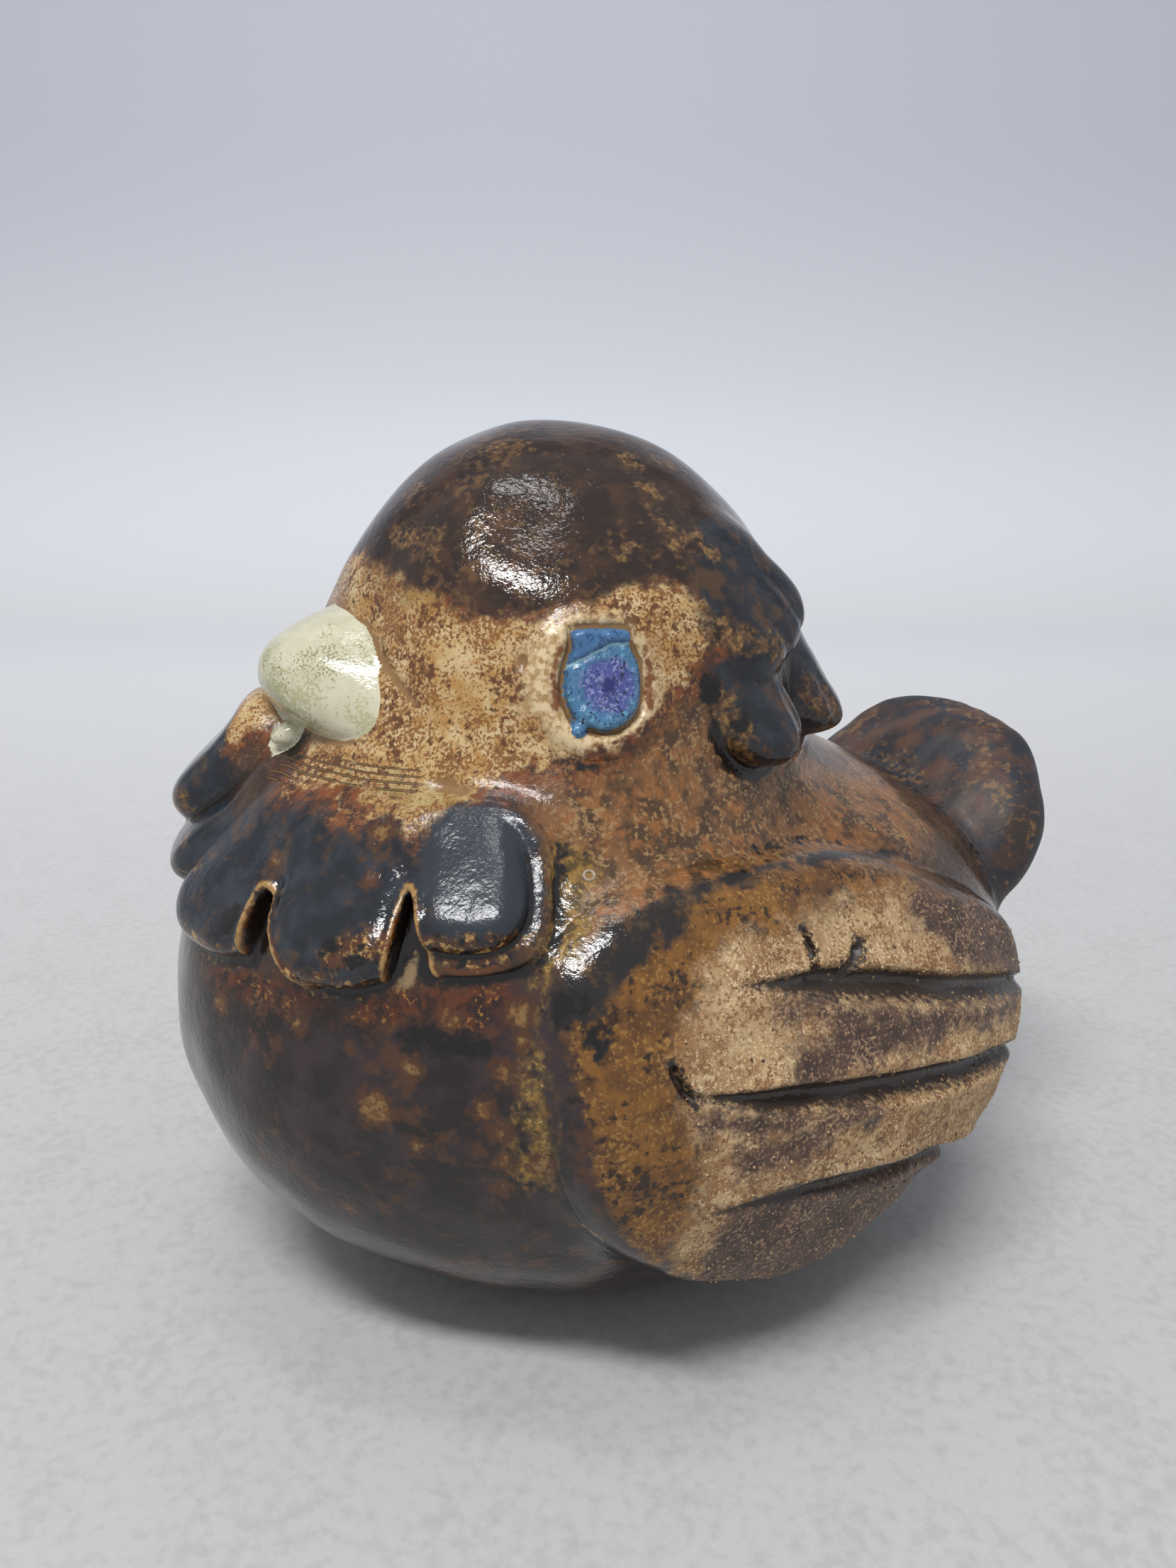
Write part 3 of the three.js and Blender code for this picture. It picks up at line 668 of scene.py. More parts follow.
# %% The whole and the territory of one piece
SEAM_HEIGHT = 56
SEAM_TILT = 5
VENT_DIAMETER = 6
VENT_BEHIND = 13
VENT_DEPTH = 12
FOOT_ROUNDING = 1.6
LAP = 0.7
SOCKET = dict(radius=4.6, depth=0.45)
eye_seats = [seat(HEAD_CENTRE, EYE_AZIMUTH * side, EYE_ELEVATION) for side in (1, -1)]


def seam(p):
    """Height above the joint between the two bowls."""
    tilt = math.radians(SEAM_TILT)
    return math.cos(tilt) * (p[:, 2] - SEAM_HEIGHT) - math.sin(tilt) * (p[:, 1] - HEAD["behind"])


def survey(p):
    """The whole, the least of all fields, and the field of every lump near these points."""
    host = clay(p)
    for spot in eye_seats:
        away = apart2(p, spot) / SOCKET["radius"] ** 2
        host = host + SOCKET["depth"] * np.exp(-away * away)
    whole, least, own = host.copy(), host.copy(), {}
    for name, lump in lumps.items():
        near = np.nonzero(near_lump(lump, p))[0]
        if len(near) == 0:
            continue
        value = lump["field"](p[near], host[near])
        whole[near] = join(whole[near], value, lump["fillet"](p[near]))
        least[near] = np.minimum(least[near], value)
        own[name] = (near, value)
    return host, whole, least, own


def grounded(form, p):
    return meet(form, -p[:, 2], FOOT_ROUNDING)


def whole_bird(p):
    return grounded(survey(p)[1], p)


def piece_field(name):
    """Field of one piece: the whole in its territory, dipping below its neighbours outside it."""

    def field(p):
        host, whole, least, own = survey(p)
        if name == "body":
            mine = np.maximum(host, seam(p))
        elif name == "head":
            mine = np.maximum(host, -seam(p))
        else:
            mine = np.full(len(p), FAR)
            if name in own:
                mine[own[name][0]] = own[name][1]
        outside = np.maximum(mine - least, 0)
        form = grounded(whole, p) + outside**2 / (outside + LAP)
        if name == "body":
            vent = np.hypot(p[:, 0], p[:, 1] - VENT_BEHIND) - VENT_DIAMETER / 2
            form = meet(form, -np.maximum(vent, p[:, 2] - VENT_DEPTH), 0.8)
        return form

    return field


# %% [markdown]
# ## From a field to a mesh
#
# Marching cubes would give slivers. Surface nets put one point in each small cube that the surface
# crosses and join them into even quads. A coarse grid finds where the surface is, the fine grid is
# read only there, and two Newton steps then slide every point exactly onto the field.

# %% Surface nets
CORNERS = [(i, j, k) for i in (0, 1) for j in (0, 1) for k in (0, 1)]
TETRAHEDRON = np.array([(1, 1, 1), (1, -1, -1), (-1, 1, -1), (-1, -1, 1)]) / math.sqrt(3)
COARSE = 5
COARSE_MARGIN = 1.5
CHUNK = 20000
NEWTON_STEPS = 2
workers = ThreadPoolExecutor(4)


def shared_out(field):
    """The same field, read in chunks side by side."""

    def read(p):
        chunks = np.array_split(p, max(1, len(p) // CHUNK))
        return np.concatenate(list(workers.map(field, chunks)))

    return read


def gradient(field, p, step=0.05):
    return sum(field(p + step * way)[:, None] * way for way in TETRAHEDRON) * 3 / (4 * step)


def read_grid(field, low, high, step):
    """The field on a fine grid near the surface, and plus or minus FAR elsewhere."""
    wide = step * COARSE
    count = np.ceil((high - low) / wide).astype(int)
    axes = [low[k] + wide * (np.arange(count[k]) + 0.5) for k in range(3)]
    rough = field(np.stack(np.meshgrid(*axes, indexing="ij"), -1).reshape(-1, 3)).reshape(count)
    inside = rough < 0
    for axis in range(3):
        inside = np.repeat(inside, COARSE, axis)
    value = np.full(count * COARSE + 1, FAR, np.float32)
    value[:-1, :-1, :-1][inside] = -FAR
    offsets = np.stack(np.meshgrid(*[np.arange(COARSE + 1)] * 3, indexing="ij"), -1).reshape(-1, 3)
    spots = (np.argwhere(np.abs(rough) < wide * COARSE_MARGIN)[:, None] * COARSE + offsets).reshape(-1, 3)
    spots = np.unique(np.ravel_multi_index(spots.T, value.shape))
    value.ravel()[spots] = field(low + np.stack(np.unravel_index(spots, value.shape), -1) * step)
    return value


def cell_points(value, cells):
    """One point in each cell: the mean of the places where its edges cross the surface."""
    total, hits = np.zeros((len(cells), 3)), np.zeros((len(cells), 1))
    corner = {c: value[tuple((cells + c).T)].astype(float) for c in CORNERS}
    for start in CORNERS:
        for axis in range(3):
            if start[axis]:
                continue
            end = tuple(1 if k == axis else start[k] for k in range(3))
            crossed = (corner[start] < 0) != (corner[end] < 0)
            share = corner[start][crossed] / (corner[start][crossed] - corner[end][crossed])
            spot = np.tile(np.array(start, float), (crossed.sum(), 1))
            spot[:, axis] += share
            total[crossed] += spot
            hits[crossed] += 1
    return cells + total / np.maximum(hits, 1)


# %% Quads round every crossed edge, and points slid onto the field
def cell_quads(negative, number):
    """A quad of the four cells round each grid edge that crosses the surface."""
    quads = []
    for axis in range(3):
        ahead = [slice(1, None) if k == axis else slice(None) for k in range(3)]
        back = [slice(0, -1) if k == axis else slice(None) for k in range(3)]
        edge = np.argwhere(negative[tuple(ahead)] != negative[tuple(back)])
        b, c = (axis + 1) % 3, (axis + 2) % 3
        for k in (b, c):
            edge = edge[(edge[:, k] > 0) & (edge[:, k] < number.shape[k])]
        ring = []
        for db, dc in ((1, 1), (0, 1), (0, 0), (1, 0)):
            cell = edge.copy()
            cell[:, b] -= db
            cell[:, c] -= dc
            ring.append(number[tuple(cell.T)])
        ring = np.stack(ring, -1)
        turned = ~negative[tuple(edge.T)]
        ring[turned] = ring[turned][:, ::-1]
        quads.append(ring[(ring >= 0).all(1)])
    return np.concatenate(quads)


def slide(field, points, step):
    """Newton steps onto the surface, none longer than a cell."""
    slope = gradient(field, points)
    for _ in range(NEWTON_STEPS):
        move = field(points)[:, None] * slope / np.maximum((slope**2).sum(1), 0.1)[:, None]
        length = np.linalg.norm(move, axis=1)[:, None]
        points = points - move * np.minimum(1, step / np.maximum(length, 1e-9))
    return points


def net(field, low, high, step):
    field, low, high = shared_out(field), np.array(low, float), np.array(high, float)
    value = read_grid(field, low, high, step)
    negative = value < 0
    shape = np.array(value.shape) - 1
    windows = [negative[i : i + shape[0], j : j + shape[1], k : k + shape[2]] for i, j, k in CORNERS]
    mixed = np.any(windows, 0) & ~np.all(windows, 0)
    cells = np.argwhere(mixed)
    number = np.full(mixed.shape, -1)
    number[mixed] = np.arange(len(cells))
    points = low + cell_points(value, cells) * step
    return slide(field, points, step), cell_quads(negative, number)


# %% [markdown]
# ## Where each glaze lies
#
# The potter brushed and dripped several glazes: a thick dark brown on the crown, a thin buff wash on
# the face, blue-black over the ruff and tufts, and a plum brown on the belly. Image textures could
# hold that, but they would stay behind when the model moves on. Here every patch is a distance in
# millimetres from a given border, kept on the vertices, and the material frays that border.

# %% Borders of the glazes
# Height of the crown's lower border and of the face's lower border, by angle round the head.
CROWN_BORDER = (
    [0, 13, 30, 41, 50, 57, 66, 73, 79, 89, 100, 112, 122, 136, 180],
    [79, 77.8, 76.2, 74.2, 73.4, 73.6, 74.2, 75.4, 76.6, 76.4, 75, 72, 67, 62, 60],
)
FACE_BORDER = (
    [0, 7, 11, 15, 22, 29, 34, 40, 45, 50, 58, 66, 74, 80, 85, 90, 97, 104],
    [62.5, 61, 58, 57.6, 58.4, 58, 56.6, 55.4, 56.5, 58.8, 61, 61.6, 62.2, 64, 65.6, 67, 69.5, 74],
)
# Upper border of the ruff's ink by the same angle.
INK_BORDER = (
    [0, 8, 15, 24, 29, 32, 35, 39, 43, 47, 52, 58, 64],
    [53.5, 55, 56, 56.6, 55, 54.4, 56.8, 56.2, 54.6, 57, 58.2, 57.4, 55],
)
INK_RISE = dict(begins=2, ends=9, height=6.5)
# Streaks: ends and radius in mm, on the left side and mirrored to the right.
MARKS = dict(
    shoulder=[
        ((37.4, -21, 43.5), (36.4, -15.5, 48.2), 2.0), ((36.4, -15.5, 48.2), (35.4, -10, 50), 1.5),
        ((36.9, -12.5, 48.2), (36.6, -11, 48.6), 1.0), ((35.4, -10, 50.2), (33.2, 3.1, 51.2), 0.8),
        ((33.2, 3.1, 51.2), (28.3, 20.5, 48), 0.7), ((28.3, 20.5, 48), (21.9, 42.8, 37.8), 0.7),
    ],
    pool=[
        ((37.2, -22, 43.3), (38.4, -20, 40.2), 1.4), ((38, -21.5, 38.5), (38, -21.5, 31), 1.2),
        ((37.8, -21.5, 29), (36.5, -18, 18), 1.5), ((28.5, -32.3, 39.4), (32.4, -28.2, 39.2), 1.3),
    ],
    pits=[
        ((12.9, -44, 47.4), (12.6, -44.2, 46.6), 1.1), ((32, -23.3, 49.6), (31, -26, 46.5), 0.7),
        ((27.3, 1.5, 63.6), (27.2, 1.3, 62.8), 0.8), ((25.5, -1, 66.8), (25.6, -0.9, 66), 1.1),
        ((26.6, -37.2, 46.9), (26.8, -37, 46.5), 0.7), ((24.4, -38.1, 47.4), (24.2, -38.4, 47), 0.6),
    ],
    olive=[
        ((29.5, -18, 53), (33.6, -20.6, 46.5), 2.0), ((33.6, -21.4, 46.5), (35.6, -24.4, 28), 1.7),
        ((15.7, -34.2, 57.4), (19, -32, 56.8), 0.6),
    ],
    rust=[
        ((9, -46, 41), (16.7, -41.9, 41.2), 1.3), ((16.7, -41.9, 41.2), (27, -33.9, 42.4), 1.5),
        ((27, -33.9, 42.4), (32.4, -26.4, 43), 1.7),
    ],
    amber=[
        ((5, -17, 87.4), (9, -12.5, 89.2), 1.0), ((3.9, -21.7, 84.8), (5, -21.6, 84), 1.3),
        ((7, -24, 80.8), (11, -22.8, 79), 1.6), ((13.3, -16.8, 82.7), (13.6, -16.4, 82.6), 0.8),
        ((12.6, -3, 88.4), (17, -2.6, 84.6), 0.8), ((18.4, -2.6, 82.8), (20.6, -2, 80), 1.1),
        ((20.3, -6.7, 79.5), (20.2, -7.4, 79.4), 0.9), ((21.2, -0.8, 80.2), (21.6, 0.8, 79.6), 1.3),
        ((25.4, 1, 71.8), (26.2, 7, 69.8), 1.5), ((26.8, 1, 61.6), (26.4, 3.4, 60.2), 1.3),
        ((26.2, -0.2, 65.5), (27.2, 1.6, 61.5), 1.4), ((26.4, -0.6, 64.6), (26.9, 0.6, 62), 0.9),
        ((19, 16, 64), (18, 19, 61.5), 1.8), ((-10, 12, 84), (-4, 16, 80), 2.0),
        ((6, 8, 90), (2, 13, 86), 1.6),
        ((8.1, -44.5, 53.8), (7.2, -44.8, 52.6), 0.9), ((3.2, -45.1, 50.6), (2.6, -45.3, 49.4), 0.8),
    ],
    moss=[((5, -26.5, 77.2), (15, -22.2, 75.8), 2.4), ((14, -31.4, 57.6), (24.5, -25.6, 59), 1.8)],
    # Rougher glaze over the disc, its paler blue-grey partly a painted sheen.
    haze_and_sheen=[((27.4, -26, 54.8), (30.2, -26.2, 51.8), 5.0)],
    ear=[((25.1, -38.1, 46.8), (27.5, -34.8, 47.7), 1.3)],
    column=[((26.4, -30.9, 49), (27.4, -32.6, 44.4), 0.85)],
    rims=[((30.9, -16.7, 51.7), (30.9, -16.7, 51.7), 0.4)],
    comb=[((3.6, -36.6, 58), (17.4, -28.8, 59.2), 1.5)],
)
SPOTS = [
    ((27, -35.7, 32.4), 1.5), ((29.3, -33.1, 36.8), 0.7), ((33.2, -28.2, 33.6), 0.7),
    ((34.1, -26.9, 31.4), 0.6), ((34, -26.7, 28.5), 0.6), ((29.2, -32.7, 29), 0.35),
    ((20.3, -40.4, 38.6), 0.4), ((10.9, -45.4, 37.9), 0.7), ((33.6, -26.4, 25.8), 0.3),
    ((21.9, -37.2, 20.1), 0.4), ((36.1, -24, 28.6), 0.8), ((33.9, -26.5, 37.2), 0.6),
    ((30.9, -30.1, 41.2), 0.6), ((34.1, -24.9, 42), 1.0), ((34.6, -24.9, 39.7), 0.6),
    ((20.1, -31.9, 55.5), 0.8), ((13.2, -39.9, 52), 0.3), ((22.6, -33.7, 52), 0.3),
    ((26.5, -34, 43.9), 0.8), ((26.8, -34.4, 22), 0.4), ((-16, -43, 33), 1.3),
    ((-29, -33, 29), 1.4), ((-12, -44, 40), 0.8), ((8, 49, 34), 1.6), ((-20, 43, 28), 1.4),
]
# How far rust and buff climb from a lobe's lower rim.
FRINGES = [1.5, 1.3, 1.7, 2.0, 2.6, 2.2]
# Brown lines beside the eye, in the eye's own plane.
EYE_LINES = [
    ((4.3, -2.4), (4.6, 0.4), 0.35), ((4.6, 0.4), (4.1, 3.0), 0.3),
    ((-4.4, -2.2), (-4.7, 0.6), 0.4), ((-4.7, 0.6), (-3.9, 3.2), 0.3),
]
# Plum bands, the front border and the top border of the bare clay, in the wing's plane.
BANDS = [
    ((-9.6, 4.1), (-2, 6.8), 1.9), ((-2, 6.8), (8.1, 8), 1.5), ((-12.8, 8.6), (24, 8.3), 0.7),
    ((-13.5, -4.6), (-7.1, -1.6), 1.5), ((-18.6, -1.2), (-1, 0.4), 0.8), ((7.5, 18), (14, 16.6), 1.8),
    ((13, 16.4), (30, 14.4), 3.2),
]
WING_FRONT = ([-12, -6.7, -1.7, 2.6, 7.7, 12.3, 16.5], [-17.4, -17.4, -19.8, -22.4, -20.8, -19, -14])
WING_TOP = ([-24, -12, -8, 3, 12, 28], [12.6, 14.6, 16.2, 19, 18.2, 15.5])


def streak(p, start, end, radius):
    """Distance in mm inside the border of a streak from start to end."""
    return radius - to_streak(p, start, end)


def streaks(p, marks):
    return np.max([streak(p, *mark) for mark in marks], 0)


def inside_pad(pad, p):
    """Distance in mm inside a pad's outline, and inside its lower rim."""
    u, v, w = pad.place(p)
    return np.where(w > 0, -pad.rim(u, v), OUTSIDE), np.where(w > 0, pad.low - v, OUTSIDE)


# %% From borders to patches
OUTSIDE = -9.0
EYE_PLANE = (HEAD_CENTRE, EYE_AZIMUTH, EYE_ELEVATION, tongue(8, 4, 4), 1)
CALM = dict(radius=6.4, ahead=1.0)
INK_OVER_LOBE = 0.9
INK_OVER_TUFT = 0.4
LIP_BAND = dict(away=0.55, half=0.16, above_clay=1.2)
# How deep into the knife cuts, and down to what height, their floor is painted dark as shade.
SLIT_SHADE = dict(depth=0.2, lowest=44.4)
WING_BACK_LAYER = 12


def ink_patches(p, angle):
    """Ink over the ruff and the tufts, and its fringe along each lobe's lower rim."""
    ink, fringe = np.full(len(p), OUTSIDE), np.full(len(p), OUTSIDE)
    for pad, climb in zip(ruff_pads, FRINGES):
        inner, low = inside_pad(pad, p)
        inner = inner + INK_OVER_LOBE
        ink = np.maximum(ink, inner)
        fringe = np.maximum(fringe, np.minimum(low + climb, inner))
    rise = INK_RISE["height"] * smooth(-p[:, 0], INK_RISE["begins"], INK_RISE["ends"])
    ink = np.minimum(ink, np.interp(angle, *INK_BORDER) + rise - p[:, 2])
    for pad in nape_pads:
        ink = np.maximum(ink, inside_pad(pad, p)[0] + INK_OVER_TUFT)
    return dict(ink=ink, fringe=fringe)


def cut_patches(p, angle):
    """The lips of the knife cuts, and their floor, which is painted dark as shade."""
    lips, slit_shade = np.full(len(p), OUTSIDE), np.full(len(p), OUTSIDE)
    height = raw_clay(p)
    for cut in KNIFE_CUTS:
        wedge = knife_cut(p, 1, cut)
        near = (np.abs(wedge) < 4) & (p[:, 0] > 0) & (angle < 70)
        lip = np.minimum(LIP_BAND["half"] - np.abs(wedge - LIP_BAND["away"]), height - LIP_BAND["above_clay"])
        lips = np.maximum(lips, np.where(near, lip, OUTSIDE))
        shaded_floor = np.minimum(SLIT_SHADE["depth"] - wedge, p[:, 2] - SLIT_SHADE["lowest"])
        slit_shade = np.maximum(slit_shade, np.where(near, shaded_floor, OUTSIDE))
    return dict(lips=lips, slit_shade=slit_shade)


def wing_patches(fold):
    """The bare clay of the wing, its plum bands, and its tears and grooves."""
    u, v, w = wing_pad.place(fold)
    outer = w > WING_BACK_LAYER
    wing = np.where(outer, -wing_pad.rim(u, v), OUTSIDE)
    front, top = u - np.interp(v, *WING_FRONT), np.interp(u, *WING_TOP) - v
    bare = np.minimum(np.minimum(wing - 0.6, front), top)
    gap, _, above = along_path(u, v, GROOVES[2]["path"])
    lowest = np.minimum(np.where(above < 0, gap, -gap), u + 14)
    purple = np.minimum(np.maximum(streaks(np.stack([u, v], 1), BANDS), lowest), wing)
    torn = [mark["half"] * 0.9 - along_path(u, v, mark["path"])[0] for mark in TEARS]
    grooved = []
    for mark in GROOVES:
        gap, share, _ = along_path(u, v, mark["path"])
        grooved.append(mark["half"] * 0.75 * smooth(share, -0.04, 0.2) - gap)
    torn, grooved = (np.where(outer, np.max(each, 0), OUTSIDE) for each in (torn, grooved))
    return dict(wing=wing, bare=bare, purple=purple, torn=torn, grooved=grooved)


def eye_patches(fold):
    """The calm buff round the eye, and the brown lines beside it."""
    u, v, w = Pad(*EYE_PLANE).place(fold)
    calm = CALM["radius"] - np.hypot(u + CALM["ahead"], v)
    lines = streaks(np.stack([u, v], 1), EYE_LINES)
    return dict(calm=np.where(w > 0, calm, OUTSIDE), lines=np.where(w > 0, lines, OUTSIDE))


def borders(p):
    """Every named patch as millimetres inside its border, for points on the bird."""
    fold = p.copy()
    fold[:, 0] = np.abs(fold[:, 0])
    angle = np.degrees(np.arctan2(fold[:, 0], HEAD["behind"] - p[:, 1]))
    crown = p[:, 2] - np.interp(angle, *CROWN_BORDER)
    patches = dict(crown=crown, face=np.minimum(-crown, p[:, 2] - np.interp(angle, *FACE_BORDER)))
    patches.update(ink_patches(p, angle), **cut_patches(p, angle), **wing_patches(fold), **eye_patches(fold))
    patches.update({key: streaks(fold, marks) for key, marks in MARKS.items()})
    patches["tail"] = 2.0 - tail_egg(p, None)
    patches["spots"] = np.max([streak(p, c, c, r) for c, r in SPOTS], 0)
    # Below about 44 mm: plum belly glaze, painted darker than the glaze as shade on the underside.
    patches["belly_and_underside_shade"] = 44 - p[:, 2] - 0.12 * np.abs(p[:, 1] + 20)
    band = np.interp(p[:, 2], [44, 50, 62, 68], [-3, 3, 3, -3])
    patches["neck"] = np.minimum(band, 26 - np.abs(p[:, 1] - 6))
    return patches


def curvature(p, reach):
    """Bulge per mm seen over a reach: above zero on edges, below zero in creases."""
    whole = shared_out(whole_bird)
    return sum(whole(p + way) for way in TETRAHEDRON * reach) / len(TETRAHEDRON) / reach


# %% A mesh with its borders on the vertices
def stone_mesh(name, points, quads, patches):
    mesh = bpy.data.meshes.new(name)
    mesh.from_pydata((points * MM).tolist(), [], quads.tolist())
    mesh.polygons.foreach_set("use_smooth", [True] * len(mesh.polygons))
    for patch, value in patches.items():
        layer = mesh.attributes.new(patch, "FLOAT", "POINT")
        layer.data.foreach_set("value", value.astype(np.float32))
    mesh.update()
    made = bpy.data.objects.new(name, mesh)
    bpy.context.scene.collection.objects.link(made)
    return made


# %% [markdown]
# ## A finish made of coats
#
# Fired glaze is glass: smooth, IOR about 1.5, with iron in it that turns black where it is thick and
# rust or amber where it is thin. Each coat is therefore a colour, a roughness and a relief, and one
# coat is laid over another through a mask, as the potter did. Noise textures on Object coordinates
# give flecks and ragged borders. Their sizes are real ones: a fleck is about half a millimetre.

# %% One helper adds a node; the rest are potter's steps
def linear(colour):
    """Linear colour of an sRGB hex value."""
    parts = [int(colour[i : i + 2], 16) / 255 for i in (1, 3, 5)]
    return (*[c / 12.92 if c <= 0.04045 else ((c + 0.055) / 1.055) ** 2.4 for c in parts], 1)


class Recipe:
    """A node tree that is filled by one adding step."""

    def __init__(self, tree):
        self.tree = tree

    def add(self, kind, inputs=None, out=0, **settings):
        made = self.tree.nodes.new(kind)
        for key, value in settings.items():
            setattr(made, key, value)
        for key, value in (inputs or {}).items():
            if isinstance(value, bpy.types.NodeSocket):
                self.tree.links.new(value, made.inputs[key])
            else:
                made.inputs[key].default_value = value
        return made.outputs[out] if len(made.outputs) else made


GLASS_IOR = 1.5


class Finish(Recipe):
    def __init__(self, name):
        self.material = bpy.data.materials.new(name)
        self.material.use_nodes = True
        super().__init__(self.material.node_tree)
        self.tree.nodes.clear()
        self.place = self.add("ShaderNodeTexCoord", out="Object")
        self.grains = {}

    def patch(self, name):
        """A value that the mesh carries."""
        return self.add("ShaderNodeAttribute", out="Fac", attribute_name=name)

    def grain(self, size, seed=0):
        """Noise with features of a size in mm, kept so that coats can share it."""
        key = (size, seed)
        if key not in self.grains:
            given = {"Vector": self.place, "W": seed, "Scale": 1 / (size * MM), "Detail": 2.0}
            given["Roughness"] = 0.6
            self.grains[key] = self.add("ShaderNodeTexNoise", given, noise_dimensions="4D")
        return self.grains[key]

    def between(self, value, low, high):
        """0 below low, 1 above high, and smooth between."""
        given = {"Value": value, "From Min": low, "From Max": high}
        return self.add("ShaderNodeMapRange", given, interpolation_type="SMOOTHSTEP")

    def flecks(self, size, level, soft=0.03, patch=8.0, gather=0.5, seed=0):
        """Flecks of a size where noise passes a level, gathered in patches."""
        gathered = {0: self.grain(patch, seed + 3), 1: gather, 2: self.grain(size, seed)}
        value = self.add("ShaderNodeMath", gathered, operation="MULTIPLY_ADD")
        return self.between(value, level + gather / 2 - soft, level + gather / 2 + soft)

    def border(self, patch, ragged, soft, size=2.2, grow=0.0, seed=1):
        """1 inside a given patch, with its border frayed by so many mm."""
        terms = {0: self.grain(size, seed), 1: 4 * ragged, 2: self.patch(patch)}
        frayed = self.add("ShaderNodeMath", terms, operation="MULTIPLY_ADD")
        return self.between(frayed, 2 * ragged - grow - soft, 2 * ragged - grow + soft)

    def both(self, first, second):
        return self.add("ShaderNodeMath", {0: first, 1: second}, operation="MULTIPLY")

    def all_but(self, mask):
        return self.add("ShaderNodeMath", {0: 1.0, 1: mask}, operation="SUBTRACT")

    def coat(self, colour, rough, relief=0.0, *tints):
        """Colour, roughness and relief in mm, with flecks laid over the colour."""
        made = [linear(colour), rough, relief]
        for other, *fleck in tints:
            made = self.tint(made, other, self.flecks(*fleck))
        return made

    def lay(self, under, over, mask):
        """One coat over another where the mask is 1."""
        colour = self.add("ShaderNodeMix", {0: mask, 6: under[0], 7: over[0]}, 2, data_type="RGBA")
        numbers = []
        for low, high in zip(under[1:], over[1:]):
            numbers.append(low if low == high else self.add("ShaderNodeMix", {0: mask, 2: low, 3: high}))
        return [colour, *numbers]

    def tint(self, coat, colour, mask):
        return self.lay(coat, [linear(colour), *coat[1:]], mask)

    def glaze(self, name):
        """A coat of the table below."""
        return self.coat(*COATS[name])

    def pile(self, under, layers):
        """Coats of the table, each over what is there: coat, patch and how its border frays."""
        for name, *border in layers:
            under = self.lay(under, self.glaze(name), self.border(*border))
        return under

    def fire(self, coat, ripple):
        """The glass itself. Relief and ripple are in mm."""
        height = self.add("ShaderNodeMath", {0: ripple, 1: coat[2]}, operation="ADD")
        normal = self.add("ShaderNodeBump", {"Height": height, "Distance": MM, "Strength": 1.0})
        shader = {"Base Color": coat[0], "Roughness": coat[1], "Normal": normal, "IOR": GLASS_IOR}
        self.add("ShaderNodeOutputMaterial", {"Surface": self.add("ShaderNodeBsdfPrincipled", shader)})
        return self.material

    def sum_of(self, terms):
        """Weighted sum of sockets."""
        total = 0.0
        for value, weight in terms:
            total = self.add("ShaderNodeMath", {0: value, 1: weight, 2: total}, operation="MULTIPLY_ADD")
        return total


# %% [markdown]
# ## The glazes of the bird
#
# One recipe serves every glazed piece, because the glazes run from piece to piece. Reading from the
# bottom up: brown body glaze, plum belly painted darker than the glaze as underside shade, speckled
# neck, olive run, buff face wash with brown flecks, thick crown, blue-black ruff and tufts, bare wing.
# Last come the edges, where any iron glaze breaks to rust and buff, the creases, where it pools black
# and is painted darker still as shade, and the floors of the knife cuts, painted dark as shade.

# %% The coats
GLASSY = 0.1
